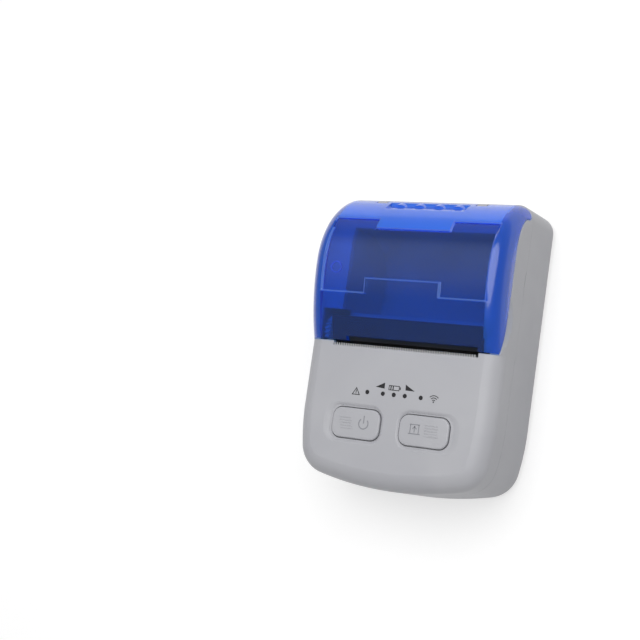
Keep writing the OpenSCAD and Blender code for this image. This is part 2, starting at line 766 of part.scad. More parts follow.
// Key cap with a retaining flange, a crowned face and five grip lines
module key(s) {
    top = panel_h + key_proud;
    flange = 0.7;
    color(shell_grey) translate([s * key_x, key_y, 0]) difference() {
        union() {
            translate([0, 0, stem_z + 0.2]) linear_extrude(panel_in - seat - stem_z - 0.2)
                round_rect(key_w + 2 * flange, key_d + 2 * flange, key_r + flange);
            translate([0, 0, stem_z]) cylinder(d = 4, h = 1);
            hull() {
                translate([0, 0, stem_z + 0.4]) linear_extrude(0.1)
                    round_rect(key_w, key_d, key_r, $fn = 32);
                translate([0, 0, top - 0.7]) linear_extrude(0.1)
                    round_rect(key_w, key_d, key_r, $fn = 32);
                translate([0, 0, top - 0.3]) linear_extrude(0.1)
                    round_rect(key_w - 0.4, key_d - 0.4, key_r, $fn = 32);
                translate([0, 0, top - 0.1]) linear_extrude(0.1)
                    round_rect(key_w - 1.4, key_d - 1.4, key_r, $fn = 32);
            }
        }
        for (i = [-2:2]) {
            reach = abs(i) == 2 ? 2.2 : 3;
            x = s * key_w * 0.22;
            box(x - reach, x + reach, i * 1.3 - 0.2, i * 1.3 + 0.2, top - 0.2, top + 1);
        }
    }
}
module power_button() { key(-1); }
module feed_button() { key(1); }
module power_plunger() { plunger(-1); }
module feed_plunger() { plunger(1); }
module usb_port() {
    x0 = -half_w + 0.5;
    color(steel) difference() {
        box(x0, x0 + 7, usb_y - usb_w / 2, usb_y + usb_w / 2, usb_z(), usb_z() + usb_h);
        box(x0 - 1, x0 + 5.5, usb_y - usb_w / 2 + 0.4, usb_y + usb_w / 2 - 0.4,
            usb_z() + 0.4, usb_z() + usb_h - 0.4);
    }
}
module case_screws() {
    color(steel) for (p = screw_at, s = [-1, 1]) translate([s * p.x, p.y, screw_seat_z]) {
        cylinder(d = 2.3, h = screw_tip_z - screw_seat_z);
        translate([0, 0, -1.8]) difference() {
            cylinder(d = 5, h = 1.8);
            for (a = [0, 90]) rotate(a) translate([-1.6, -0.3, -1]) cube([3.2, 0.6, 1.8]);
        }
    }
}

module paper_cover() {
    color(cover_blue, 0.75) difference() {
        union() {
            difference() {
                union() {
                    difference() {
                        intersection() {
                            arch_form(0);
                            box(-half_w, half_w, cover_front, roll_end, hinge_z, arch_h + 1);
                        }
                        cover_recess();
                        grip_recess();
                    }
                    grip_rib_set();
                }
                arch_form(cover_wall);
                across(-half_w - 1, half_w + 1) cheek_profile(-cover_gap);
            }
            intersection() {
                hinge_bar(barrel_r, -half_w, half_w);
                arch_form(0);
            }
        }
        lug_notches();
        bar([hinge_y, hinge_z], hinge_pin_d + 0.1, -pin_end - seat, pin_end + seat);
    }
}
module lug_notches() {
    for (s = [-1, 1]) hinge_bar(barrel_r + cover_gap, s * lug_x - lug_w / 2 - 0.3,
        s * lug_x + lug_w / 2 + 0.3);
}
// Recessed panel between the two stepped seams
module cover_recess() {
    front = crown_y - 12;
    rear = crown_y + 17.3;
    step_front = 5.5;
    step_rear = 4.1;
    difference() {
        intersection() {
            box(-recess_w / 2, recess_w / 2, front, rear, 30, 60);
            arch_form(-1);
        }
        arch_form(recess_depth);
        box(-recess_tab_w / 2, recess_tab_w / 2, front - 1, front + step_front, 0, 60);
        box(-recess_tab_w / 2, recess_tab_w / 2, rear - step_rear, rear + 1, 0, 60);
    }
}
grip_w = grip_ribs * grip_pitch + 0.6;
// Angles on the rear arc: middle of the flat cut, and lower and upper end of the ribs
grip_mid_a = 23.5;
rib_a = [24, 32];
module grip_recess() {
    across(-grip_w / 2, grip_w / 2) translate([crown_y, rear_arc_z]) rotate(grip_mid_a)
        translate([rear_arc_r - grip_depth, -14]) square([8, 28]);
}
module grip_rib_set() {
    rib = grip_pitch * 0.37;
    r = rib * rib / (2 * grip_depth) + grip_depth / 2;
    for (i = [0:grip_ribs - 1])
        translate([(i - (grip_ribs - 1) / 2) * grip_pitch, crown_y, rear_arc_z])
            rotate([90, 0, 90]) rotate_extrude(angle = rib_a[1] - rib_a[0], start = rib_a[0])
                translate([rear_arc_r - r, 0]) circle(r);
}
module hinge_pin() {
    color(steel) bar([hinge_y, hinge_z], hinge_pin_d, -pin_end, pin_end);
}
module platen_bracket() {
    y0 = cover_front + 0.2;
    y1 = y0 + 9;
    top = cover_wall + 0.05;
    color(part_black) difference() {
        intersection() {
            union() {
                difference() {
                    box(left_plate, right_plate, y0, y1, 30, 60);
                    arch_form(top + 1.5);
                }
                for (x = [left_plate, right_plate - plate_t]) {
                    box(x, x + plate_t, y0, y1, platen_z, 60);
                    bar([platen_y, platen_z], platen_d + 0.8, x, x + plate_t);
                }
                box(left_plate, right_plate, y1 - 1.6, y1, platen_z + 1, 60);
            }
            arch_form(top);
        }
        bar([platen_y, platen_z], bush_d + 0.06, left_plate - 1, right_plate + 1);
        bar([platen_y, platen_z], platen_d + 1, left_in, right_in);
    }
}
module platen_bushes() {
    color("#e8e6df") for (x = [left_frame, right_in]) difference() {
        bar([platen_y, platen_z], bush_d, x, x + plate_t + seat + frame_t);
        bar([platen_y, platen_z], shaft_d + 0.1, x - 1, x + 6);
    }
}
module platen_shaft() {
    color(steel) bar([platen_y, platen_z], shaft_d, gear_x - gear_w - 0.1, right_frame + 0.5);
}
module platen_rubber() {
    color("#2a2a2c") difference() {
        bar([platen_y, platen_z], platen_d, print_x - paper_w / 2, print_x + paper_w / 2);
        bar([platen_y, platen_z], shaft_d + 0.02, -60, 60);
    }
}

upper_housing();
lower_housing();
battery_cover();
battery_pack();
battery_contacts();
paper_bin();
mechanism_frame();
head_pivot_pin();
reduction_axle();
motor_body();
motor_shaft();
motor_pinion();
reduction_gear();
print_head();
head_heatsink();
head_spring();
head_flex();
flex_connector();
paper_sensor();
tear_bar();
main_board();
board_chips();
radio_module();
board_screws();
lamps();
light_pipes();
switch_bodies();
power_button();
power_plunger();
feed_button();
feed_plunger();
usb_port();
case_screws();
paper_cover();
hinge_pin();
platen_bracket();
platen_bushes();
platen_shaft();
platen_rubber();
platen_gear();
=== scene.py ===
import math
import bpy
import bmesh
import numpy as np
from mathutils import Matrix, Vector


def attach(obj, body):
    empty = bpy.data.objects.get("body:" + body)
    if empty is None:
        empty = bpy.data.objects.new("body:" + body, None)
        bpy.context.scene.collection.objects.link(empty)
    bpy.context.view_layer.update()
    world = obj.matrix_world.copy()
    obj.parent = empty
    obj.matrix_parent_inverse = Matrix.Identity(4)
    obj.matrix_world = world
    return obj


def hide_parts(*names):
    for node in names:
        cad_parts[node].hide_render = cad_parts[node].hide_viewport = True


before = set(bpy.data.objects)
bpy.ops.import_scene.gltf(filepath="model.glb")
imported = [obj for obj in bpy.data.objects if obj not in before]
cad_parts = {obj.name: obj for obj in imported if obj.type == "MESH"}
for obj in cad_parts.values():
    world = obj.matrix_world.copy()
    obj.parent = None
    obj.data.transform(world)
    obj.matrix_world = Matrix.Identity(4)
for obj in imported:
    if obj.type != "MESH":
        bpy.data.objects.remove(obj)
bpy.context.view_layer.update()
MM = 0.001

# Sizes of the printer in millimetres. They follow the solids, but for the groove at the parting
# line, the slot's front edge (TEAR_FACE), the mouth and the boss, which are the scene's own.
HALF_W, HALF_L = 40.0, 55.5
PANEL_H, PARTING_H, WALL, GROOVE_H, GROOVE_D = 38.5, 25.0, 2.0, 0.18, 0.16
BACK_EDGE_R, PANEL_EDGE_R = 5.0, 6.5
KEY_END_BOW, KEY_CORNER_R, SIDE_BOW, TAPER_L, ROLL_CORNER_R = 130.0, 12.0, 90.0, 29.5, 6.5
ARCH_H, CROWN_Y, FRONT_ARC_R, REAR_ARC_R, ARCH_EDGE_R = 45.5, 28.0, 76.0, 29.0, 7.2
COVER_WALL, COVER_GAP, TRIM_DROP, TRIM_REAR_Z = 2.2, 0.4, 20.0, 20.0
RECESS_DEPTH, RECESS_HALF, TAB_HALF = 0.8, 34.0, 15.5
RECESS_FRONT, RECESS_REAR, STEP_FRONT, STEP_REAR, STEP_RAMP = 16.0, 45.3, 5.5, 4.1, 0.55
GRIP_DEPTH, GRIP_PITCH, GRIP_RIBS, GRIP_MID_A, RIB_END_A = 1.2, 8.1, 4, 23.5, 32.0
GRIP_HALF = (GRIP_RIBS * GRIP_PITCH + 0.6) / 2
BARREL_R, LUG_W, LUG_X, PIN_HOLE_R, PIN_HALF = 2.5, 4.0, 21.0, 1.05, 34.8
LUG_ROOM = LUG_W / 2 + 0.3
HINGE_Z = PARTING_H + COVER_GAP + BARREL_R
REAR_ARC_Z = ARCH_H - REAR_ARC_R
HINGE_Y = CROWN_Y + math.sqrt(REAR_ARC_R ** 2 - (HINGE_Z - REAR_ARC_Z) ** 2) - BARREL_R - 0.1
CHEEK_H, CHEEK_R, CHEEK_REAR = 36.0, 15.2, HINGE_Y - 0.6
COVER_FRONT, PANEL_END, TEAR_FACE = -1.7, -2.1, -3.75
MOUTH_LEFT, MOUTH_BACK = -22.6, -0.1
LEFT_IN, RIGHT_IN, ROLL_ROOM_REAR = -27.7, 30.7, 42.0
GEAR_ROOM_LEFT, GEAR_ROOM_RIGHT, GEAR_ROOM_REAR = -36.0, 34.7, 10.5
SLOT_LEFT, SLOT_RIGHT, TOOTH_PITCH = -28.5, 31.5, 1.0
SCOOP_R, SCOOP_HALF, SCOOP_Y, SCOOP_RISE = 30.0, 13.0, 9.6, 8.2
LAMP_Y, LAMP_XS, LAMP_D = -20.3, (-11.1, -4.55, 0.0, 4.55, 11.1), 1.5
KEY_W, KEY_D, KEY_R, KEY_X, KEY_Y = 20.0, 11.3, 3.6, 14.1, -32.4
KEY_PROUD, KEY_GAP, KEY_FLANGE, KEY_RIM_R, FLANGE_Z = 0.4, 0.35, 0.7, 0.55, (35.4, 36.2)
BAY_HALF, BAY_REAR, BAY_H, BAY_WALL = 25.8, -17.0, 21.0, 1.5
DOOR_LIP, DOOR_TRAVEL, DOOR_GAP, DOOR_FRONT_GAP, DOOR_FLOOR_Y = 6.0, 8.0, 0.3, 0.5, -HALF_L + 6.5
TAB_YS, TAB_L, TAB_Z, TAB_REACH, POCKET_REACH = (-24.0, -40.0), 5.0, 1.2, 1.0, 1.3
THUMB_HALF, THUMB_W, THUMB_D, THUMB_PITCH, THUMB_Y = 7.0, 0.8, 0.4, 2.0, -HALF_L + 12
FEET, FOOT_R, FOOT_H = ((-28.1, 4), (31.1, 4), (31.1, -10)), 2.5, 7.0
SOCKET_Y, SOCKET_Z = (-30.3, -21.7), (25.4, 29.8)
BOSS_X, BOSS_Y, BOSS_R, BOSS_W, BOSS_H = -29.0, 25.3, 2.1, 0.5, 0.45
SCREWS, COLUMN_R, WELL_R, THREAD_R, WELL_TOP = ((31.5, -44.0), (33.0, 47.0)), 3.2, 2.8, 1.4, 15.0


# Meshes

def mesh_object(name, verts, faces):
    """A piece from points in millimetres and its faces."""
    mesh = bpy.data.meshes.new(name)
    mesh.from_pydata([tuple(float(c) * MM for c in v) for v in verts], [], [tuple(f) for f in faces])
    mesh.validate()
    obj = bpy.data.objects.new(name, mesh)
    bpy.context.scene.collection.objects.link(obj)
    return obj


def outward(obj):
    """Turns all faces of a closed piece outwards."""
    bm = bmesh.new()
    bm.from_mesh(obj.data)
    bmesh.ops.remove_doubles(bm, verts=bm.verts, dist=2e-7)
    bmesh.ops.recalc_face_normals(bm, faces=bm.faces)
    bm.to_mesh(obj.data)
    bm.free()
    return obj


def loft(name, rings):
    """Skin over rings of points, with a cap on each end."""
    n, last = len(rings[0]), len(rings) - 1
    faces = [(k * n + i, k * n + (i + 1) % n, (k + 1) * n + (i + 1) % n, (k + 1) * n + i)
             for k in range(last) for i in range(n)]
    faces += [tuple(range(n))[::-1], tuple(last * n + i for i in range(n))]
    return outward(mesh_object(name, [point for ring in rings for point in ring], faces))


def at_height(outline, z):
    return [(x, y, z) for x, y in outline]


def prism(name, outline, z0, z1):
    return loft(name, [at_height(outline, z) for z in (z0, z1)])


def block(name, x0, x1, y0, y1, z0, z1):
    return prism(name, [(x0, y0), (x1, y0), (x1, y1), (x0, y1)], z0, z1)


def bar(name, y, z, r, x0, x1, n=48):
    """Round bar along X."""
    turn = [2 * math.pi * i / n for i in range(n)]
    return loft(name, [[(x, y + r * math.cos(t), z + r * math.sin(t)) for t in turn] for x in (x0, x1)])


def post(name, x, y, r, z0, z1, n=32):
    """Round bar along Z."""
    turn = [2 * math.pi * i / n for i in range(n)]
    return loft(name, [[(x + r * math.cos(t), y + r * math.sin(t), z) for t in turn] for z in (z0, z1)])


def across(name, side_view, x0, x1):
    """Turns a drawing in the side view (Y, Z) into a solid along X."""
    return loft(name, [[(x, y, z) for y, z in side_view] for x in (x0, x1)])


def joined(name, objs):
    """Several closed pieces as one object."""
    bm = bmesh.new()
    for o in objs:
        bm.from_mesh(o.data)
        bpy.data.objects.remove(o)
    mesh = bpy.data.meshes.new(name)
    bm.to_mesh(mesh)
    bm.free()
    obj = bpy.data.objects.new(name, mesh)
    bpy.context.scene.collection.objects.link(obj)
    return obj


def combine(obj, tool, how):
    """Cuts, joins or intersects obj with tool, which is used up."""
    mod = obj.modifiers.new("combine", "BOOLEAN")
    mod.object, mod.operation, mod.solver = tool, how, "EXACT"
    depsgraph = bpy.context.evaluated_depsgraph_get()
    mesh = bpy.data.meshes.new_from_object(obj.evaluated_get(depsgraph))
    obj.modifiers.clear()
    obj.data = mesh
    bpy.data.objects.remove(tool)
    return obj


def cut(obj, *tools):
    for tool in tools:
        combine(obj, tool, "DIFFERENCE")
    return obj


def finished(obj, body, material, stands_for=(), sharp=30.0):
    """Smooths a piece up to its sharp edges, paints it and lets it ride on its body."""
    mesh = obj.data
    mesh.polygons.foreach_set("use_smooth", [True] * len(mesh.polygons))
    mesh.set_sharp_from_angle(angle=math.radians(sharp))
    weight = obj.modifiers.new("even_shading", "WEIGHTED_NORMAL")
    weight.keep_sharp = True
    mesh.materials.clear()
    mesh.materials.append(material)
    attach(obj, body)
    if stands_for:
        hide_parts(*stands_for)
    return obj


# Outlines

def arc(centre, r, a0, a1, n):
    return [(centre[0] + r * math.cos(math.radians(a0 + (a1 - a0) * i / n)),
             centre[1] + r * math.sin(math.radians(a0 + (a1 - a0) * i / n))) for i in range(n)]


def meeting_point(p, rp, q, rq, side):
    """Point at distance rp from p and rq from q."""
    vx, vy = q[0] - p[0], q[1] - p[1]
    length = math.hypot(vx, vy)
    ux, uy = vx / length, vy / length
    along = (rp * rp - rq * rq + length * length) / (2 * length)
    off = side * math.sqrt(rp * rp - along * along)
    return (p[0] + along * ux - off * uy, p[1] + along * uy + off * ux)


def housing_outline(inset, rear_r=ROLL_CORNER_R):
    """Plan of the housing, made of tangent arcs, anticlockwise from the middle of the key end."""
    end_c = (0.0, -HALF_L + KEY_END_BOW)
    side_c = (HALF_W - SIDE_BOW, -HALF_L + TAPER_L)
    corner = meeting_point(side_c, SIDE_BOW - KEY_CORNER_R, end_c, KEY_END_BOW - KEY_CORNER_R, -1)
    a_end = math.degrees(math.atan2(corner[1] - end_c[1], corner[0] - end_c[0]))
    a_side = math.degrees(math.atan2(corner[1] - side_c[1], corner[0] - side_c[0]))
    rear_c = (HALF_W - rear_r, HALF_L - rear_r)
    half = (arc(end_c, KEY_END_BOW - inset, -90, a_end, 10)
            + arc(corner, KEY_CORNER_R - inset, a_end, a_side, 22)
            + arc(side_c, SIDE_BOW - inset, a_side, 0, 8)
            + arc(rear_c, rear_r - inset, 0, 90, 18)
            + [(HALF_W - rear_r, HALF_L - inset)])
    return half + [(-x, y) for x, y in half[:0:-1]]


def ring(inset, z, rear_r=ROLL_CORNER_R):
    return at_height(housing_outline(inset, rear_r), z)


def round_rect(cx, cy, w, d, r, n=10):
    """Rounded rectangle as points, anticlockwise."""
    points = []
    for sx, sy, a0 in ((1, 1, 0), (-1, 1, 90), (-1, -1, 180), (1, -1, 270)):
        c = (cx + sx * (w / 2 - r), cy + sy * (d / 2 - r))
        points += arc(c, r, a0, a0 + 90, n) + [(c[0] + r * math.cos(math.radians(a0 + 90)),
                                                c[1] + r * math.sin(math.radians(a0 + 90)))]
    return points


def cheek_view(inset, y0):
    """Side view of the cheeks that the cover closes on."""
    r = CHEEK_R - inset
    centre = (CHEEK_REAR - CHEEK_R, CHEEK_H - CHEEK_R)
    return ([(y0, 0.0), (CHEEK_REAR - inset, 0.0)] + arc(centre, r, 0, 90, 30)
            + [(centre[0], CHEEK_H - inset), (y0, CHEEK_H - inset)])


# The arch of the cover
# A station is a share along the arch. The front stations end on the plane of the cover's
# front edge and the rear ones on the plane through the hinge axis.

def arch_point(station, r_drop, rear_z=HINGE_Z, front_y=COVER_FRONT):
    """Point (y, z) of the arch, r_drop below its outside, and the direction outwards."""
    if station < 0:
        r = FRONT_ARC_R - r_drop
        centre = (CROWN_Y, ARCH_H - FRONT_ARC_R)
        a = -station * math.asin((CROWN_Y - front_y) / r)
        u = (-math.sin(a), math.cos(a))
    else:
        r = REAR_ARC_R - r_drop
        centre = (CROWN_Y, REAR_ARC_Z)
        a = station * (math.pi / 2 - math.asin((rear_z - REAR_ARC_Z) / r))
        u = (math.sin(a), math.cos(a))
    return centre[0] + r * u[0], centre[1] + r * u[1], u


def arch_solid(name):
    """Solid under the whole arch, used to trim other pieces."""
    e, turn = ARCH_EDGE_R, np.linspace(0, math.pi / 2, 16)
    section = [(-HALF_W, TRIM_DROP)]
    section += [(-HALF_W + e - e * math.cos(t), e - e * math.sin(t)) for t in turn]
    section += [(HALF_W - e + e * math.sin(t), e - e * math.cos(t)) for t in turn]
    section += [(HALF_W, TRIM_DROP)]
    rings = []
    for station in list(np.linspace(-1, 0, 40)) + list(np.linspace(0, 1, 40))[1:]:
        points = []
        for x, drop in section:
            y, z, _u = arch_point(station, drop, TRIM_REAR_Z, COVER_FRONT - 0.6)
            points.append((x, y, z))
        rings.append(points)
    return loft(name, rings)


def step_mask(v, lo, hi, soft):
    """1 between lo and hi, with soft edges."""
    up = min(max((v - lo) / soft + 0.5, 0.0), 1.0)
    down = min(max((hi - v) / soft + 0.5, 0.0), 1.0)
    return min(up, down)


def recess_depth(x, y):
    """Depth of the sunk panel with its stepped tabs at a point of the cover."""
    soft = STEP_RAMP
    whole = min(step_mask(x, -RECESS_HALF, RECESS_HALF, soft),
                step_mask(y, RECESS_FRONT, RECESS_REAR, soft))
    tab = step_mask(x, -TAB_HALF, TAB_HALF, soft)
    front_tab = min(tab, step_mask(y, RECESS_FRONT - 5, RECESS_FRONT + STEP_FRONT, soft))
    rear_tab = min(tab, step_mask(y, RECESS_REAR - STEP_REAR, RECESS_REAR + 5, soft))
    return RECESS_DEPTH * min(whole, 1 - front_tab, 1 - rear_tab)


def grip_drop(x, y, z):
    """How far the flat grip cut and its ribs lie below the arch, measured to the arch's centre."""
    edge = step_mask(x, -GRIP_HALF, GRIP_HALF, 0.25)
    if edge <= 0 or y < CROWN_Y:
        return 0.0
    a = math.degrees(math.atan2(z - REAR_ARC_Z, y - CROWN_Y))
    off = math.radians(a - GRIP_MID_A)
    if abs(off) > 1.2:
        return 0.0
    flat = max(REAR_ARC_R - (REAR_ARC_R - GRIP_DEPTH) / math.cos(off), 0.0)
    rib = GRIP_PITCH * 0.37
    round_r = rib * rib / (2 * GRIP_DEPTH) + GRIP_DEPTH / 2
    on_rib = flat
    for i in range(GRIP_RIBS):
        dx = abs(x - (i - (GRIP_RIBS - 1) / 2) * GRIP_PITCH)
        if dx < round_r:
            on_rib = min(on_rib, round_r - math.sqrt(round_r ** 2 - dx ** 2))
    share = step_mask(a, -90.0, RIB_END_A, 0.35)
    return edge * (flat + (on_rib - flat) * share)


# Finishes shared by several materials

def new_group(name, inputs, outputs):
    """Empty shader group with named sockets: (name, kind, default) in, (name, kind) out."""
    tree = bpy.data.node_groups.new(name, "ShaderNodeTree")
    for label, kind, value in inputs:
        socket = tree.interface.new_socket(label, in_out="INPUT", socket_type="NodeSocket" + kind)
        socket.default_value = value
    for label, kind in outputs:
        tree.interface.new_socket(label, in_out="OUTPUT", socket_type="NodeSocket" + kind)
    return tree, Nodes(tree), tree.nodes.new("NodeGroupInput"), tree.nodes.new("NodeGroupOutput")


class Nodes:
    """Short way to place shader nodes in a tree and wire them."""

    def __init__(self, tree):
        self.tree = tree

    def feed(self, socket, value):
        """Wires a socket to another one, or sets its value."""
        if isinstance(value, bpy.types.NodeSocket):
            self.tree.links.new(value, socket)
        else:
            socket.default_value = value

    def add(self, kind, **values):
        node = self.tree.nodes.new("ShaderNode" + kind)
        wires = values.pop("wires", {})
        for key, value in values.items():
            setattr(node, key, value)
        for key, value in wires.items():
            self.feed(node.inputs[key], value)
        return node

    def math(self, operation, a, b=0.0, clamp=False):
        return self.add("Math", operation=operation, use_clamp=clamp, wires={0: a, 1: b}).outputs[0]

    def map(self, value, a, b, c, d):
        return self.add("MapRange", wires={"Value": value, "From Min": a, "From Max": b,
                                           "To Min": c, "To Max": d}).outputs["Result"]

    def mix(self, share, a, b):
        return self.add("Mix", data_type="RGBA", wires={0: share, 6: a, 7: b}).outputs[2]

    def place(self, tree, **values):
        node = self.add("Group", node_tree=tree)
        for key, value in values.items():
            self.feed(node.inputs[key.replace("_", " ")], value)
        return node

    def wire(self, a, b):
        self.tree.links.new(a, b)


def moulded_grain_group():
    """Fine spark-eroded grain of moulded plastic, with faint flow marks and handling marks."""
    tree, n, gin, gout = new_group(
        "moulded_grain",
        [("Grain Size", "Float", 0.35), ("Rough Low", "Float", 0.3), ("Rough High", "Float", 0.45),
         ("Base", "Color", (0.5, 0.5, 0.5, 1)), ("Shade", "Color", (0.4, 0.4, 0.4, 1))],
        [("Color", "Color"), ("Roughness", "Float"), ("Height", "Float")])
    place = n.add("TexCoord").outputs["Object"]
    scale = n.math("DIVIDE", 1000.0, gin.outputs["Grain Size"])
    fine = n.add("TexNoise", wires={"Vector": place, "Scale": scale, "Detail": 2.0, "Roughness": 0.5})
    pits = n.add("TexVoronoi", feature="SMOOTH_F1", wires={"Vector": place, "Scale": scale})
    broad = n.add("TexNoise", wires={"Vector": place, "Scale": 38.0, "Detail": 3.0, "Distortion": 0.6})
    smear = n.add("TexNoise", wires={"Vector": place, "Scale": 120.0, "Detail": 4.0, "Distortion": 1.4})
    share = n.map(broad.outputs["Fac"], 0.35, 0.7, 0.0, 1.0)
    n.wire(n.mix(share, gin.outputs["Base"], gin.outputs["Shade"]), gout.inputs["Color"])
    marks = n.math("ADD", n.math("MULTIPLY", smear.outputs["Fac"], 0.6),
                   n.math("MULTIPLY", broad.outputs["Fac"], 0.4))
    span = n.math("SUBTRACT", gin.outputs["Rough High"], gin.outputs["Rough Low"])
    rough = n.math("ADD", gin.outputs["Rough Low"], n.math("MULTIPLY", marks, span))
    n.wire(rough, gout.inputs["Roughness"])
    height = n.math("ADD", fine.outputs["Fac"], n.math("MULTIPLY", pits.outputs["Distance"], 0.5))
    n.wire(height, gout.inputs["Height"])
    return tree


def edge_wear_and_line_group():
    """Mask of the rounded edges, broken up, and a normal that rounds them. The plastics and metals colour
    it as wear, the cover as a painted refraction line.
    """
    tree, n, gin, gout = new_group(
        "edge_wear_and_painted_line", [("Radius", "Float", 0.0003), ("Amount", "Float", 0.5)],
        [("Mask", "Float"), ("Normal", "Vector")])
    soft = n.add("Bevel", samples=6, wires={"Radius": gin.outputs["Radius"]})
    face = n.add("NewGeometry")
    dot = n.add("VectorMath", operation="DOT_PRODUCT",
                wires={0: soft.outputs["Normal"], 1: face.outputs["Normal"]}).outputs["Value"]
    edge = n.map(dot, 0.995, 0.85, 0.0, 1.0)
    place = n.add("TexCoord").outputs["Object"]
    chips = n.add("TexNoise", wires={"Vector": place, "Scale": 700.0, "Detail": 3.0})
    broken = n.map(chips.outputs["Fac"], 0.35, 0.65, 0.3, 1.0)
    mask = n.math("MULTIPLY", n.math("MULTIPLY", edge, broken), gin.outputs["Amount"], clamp=True)
    n.wire(mask, gout.inputs["Mask"])
    n.wire(soft.outputs["Normal"], gout.inputs["Normal"])
    return tree


def brushed_metal_group():
    """Drawn or ground metal: fine lines along X with stains."""
    tree, n, gin, gout = new_group(
        "brushed_metal",
        [("Base", "Color", (0.6, 0.6, 0.6, 1)), ("Stain", "Color", (0.4, 0.4, 0.4, 1)),
         ("Rough", "Float", 0.3)],
        [("Color", "Color"), ("Roughness", "Float"), ("Height", "Float")])
    place = n.add("TexCoord").outputs["Object"]
    stretch = n.add("Mapping", wires={"Vector": place, "Scale": (120.0, 4200.0, 4200.0)})
    lines = n.add("TexNoise", wires={"Vector": stretch.outputs["Vector"], "Scale": 1.0, "Detail": 3.0})
    stain = n.add("TexNoise", wires={"Vector": place, "Scale": 260.0, "Detail": 4.0})
    share = n.map(stain.outputs["Fac"], 0.45, 0.7, 0.0, 0.8)
    n.wire(n.mix(share, gin.outputs["Base"], gin.outputs["Stain"]), gout.inputs["Color"])
    rough = n.math("ADD", gin.outputs["Rough"], n.math("MULTIPLY", lines.outputs["Fac"], 0.16))
    n.wire(rough, gout.inputs["Roughness"])
    n.wire(lines.outputs["Fac"], gout.inputs["Height"])
    return tree


GRAIN, EDGE, BRUSH = moulded_grain_group(), edge_wear_and_line_group(), brushed_metal_group()


# Materials

def material(name):
    mat = bpy.data.materials.new(name)
    mat.use_nodes = True
    mat.node_tree.nodes.clear()
    n = Nodes(mat.node_tree)
    return mat, n, n.add("BsdfPrincipled"), n.add("OutputMaterial")


def colour(r, g, b):
    return (r, g, b, 1.0)


def plastic(name, base, shade, worn, rough=(0.3, 0.45), grain=0.35, bump=0.04, edge=0.0002,
            wear=0.4, ior=1.46, coat=0.0):
    """Moulded plastic with grain, tonal drift and lighter worn edges."""
    mat, n, bsdf, out = material(name)
    skin = n.place(GRAIN, Grain_Size=grain, Rough_Low=rough[0], Rough_High=rough[1],
                   Base=colour(*base), Shade=colour(*shade))
    rim = n.place(EDGE, Radius=edge, Amount=wear)
    n.wire(n.mix(rim.outputs["Mask"], skin.outputs["Color"], colour(*worn)), bsdf.inputs["Base Color"])
    n.wire(skin.outputs["Roughness"], bsdf.inputs["Roughness"])
    relief = n.add("Bump", wires={"Strength": 1.0, "Distance": bump * MM,
                                  "Height": skin.outputs["Height"], "Normal": rim.outputs["Normal"]})
    n.wire(relief.outputs["Normal"], bsdf.inputs["Normal"])
    bsdf.inputs["IOR"].default_value = ior
    bsdf.inputs["Coat Weight"].default_value = coat
    n.wire(bsdf.outputs["BSDF"], out.inputs["Surface"])
    return mat


def painted_shade_rim(mat, start):
    """Paints the upper rim of a head piece near-black above a share of its height: painted shade in the
    slot, which on the ceramic also stands for its resin.
    """
    n = Nodes(mat.node_tree)
    bsdf = next(node for node in mat.node_tree.nodes if node.type == "BSDF_PRINCIPLED")
    height = n.add("SeparateXYZ", wires={"Vector": n.add("TexCoord").outputs["Generated"]})
    rim = n.math("GREATER_THAN", height.outputs["Z"], start)
    bare = bsdf.inputs["Base Color"].links[0].from_socket
    # near-black painted shade over the rim
    n.wire(n.mix(rim, bare, colour(0.012, 0.012, 0.014)), bsdf.inputs["Base Color"])
    return mat


def metal(name, base, stain, rough=0.25, edge=0.00012, bump=0.008):
    """Bare metal with drawn lines, stains and bright worn edges."""
    mat, n, bsdf, out = material(name)
    skin = n.place(BRUSH, Base=colour(*base), Stain=colour(*stain), Rough=rough)
    rim = n.place(EDGE, Radius=edge, Amount=0.5)
    bright = colour(*(min(c * 1.25, 0.95) for c in base))
    n.wire(n.mix(rim.outputs["Mask"], skin.outputs["Color"], bright), bsdf.inputs["Base Color"])
    n.wire(skin.outputs["Roughness"], bsdf.inputs["Roughness"])
    relief = n.add("Bump", wires={"Strength": 1.0, "Distance": bump * MM,
                                  "Height": skin.outputs["Height"], "Normal": rim.outputs["Normal"]})
    n.wire(relief.outputs["Normal"], bsdf.inputs["Normal"])
    bsdf.inputs["Metallic"].default_value = 1.0
    n.wire(bsdf.outputs["BSDF"], out.inputs["Surface"])
    return mat


def cover_material(name, clearness, rough, base, deep, tint):
    """Clear blue plastic. It turns deeper where one looks along the wall, and its edges take a purple
    painted refraction line.
    """
    mat, n, bsdf, out = material(name)
    skin = n.place(GRAIN, Grain_Size=2.5, Rough_Low=rough, Rough_High=rough + 0.09,
                   Base=colour(*base), Shade=colour(*(c * 0.9 for c in base)))
    rim = n.place(EDGE, Radius=0.00025, Amount=0.8)
    facing = n.add("LayerWeight", wires={"Blend": 0.35}).outputs["Facing"]
    deep = n.mix(n.map(facing, 0.35, 0.95, 0.0, 0.75), skin.outputs["Color"], colour(*deep))
    # purple on the edge mask: painted refraction line along the cover's edges
    n.wire(n.mix(rim.outputs["Mask"], deep, colour(0.15, 0.14, 0.78)), bsdf.inputs["Base Color"])
    n.wire(skin.outputs["Roughness"], bsdf.inputs["Roughness"])
    relief = n.add("Bump", wires={"Strength": 1.0, "Distance": 0.006 * MM,
                                  "Height": skin.outputs["Height"], "Normal": rim.outputs["Normal"]})
    n.wire(relief.outputs["Normal"], bsdf.inputs["Normal"])
    bsdf.inputs["IOR"].default_value = 1.5
    bsdf.inputs["Coat Weight"].default_value = 0.5
    bsdf.inputs["Transmission Weight"].default_value = clearness
    clear = n.add("BsdfTransparent", wires={"Color": colour(*tint)})
    ray = n.add("LightPath")
    blend = n.add("MixShader", wires={"Fac": ray.outputs["Is Shadow Ray"],
                                      1: bsdf.outputs["BSDF"], 2: clear.outputs["BSDF"]})
    n.wire(blend.outputs["Shader"], out.inputs["Surface"])
    return mat


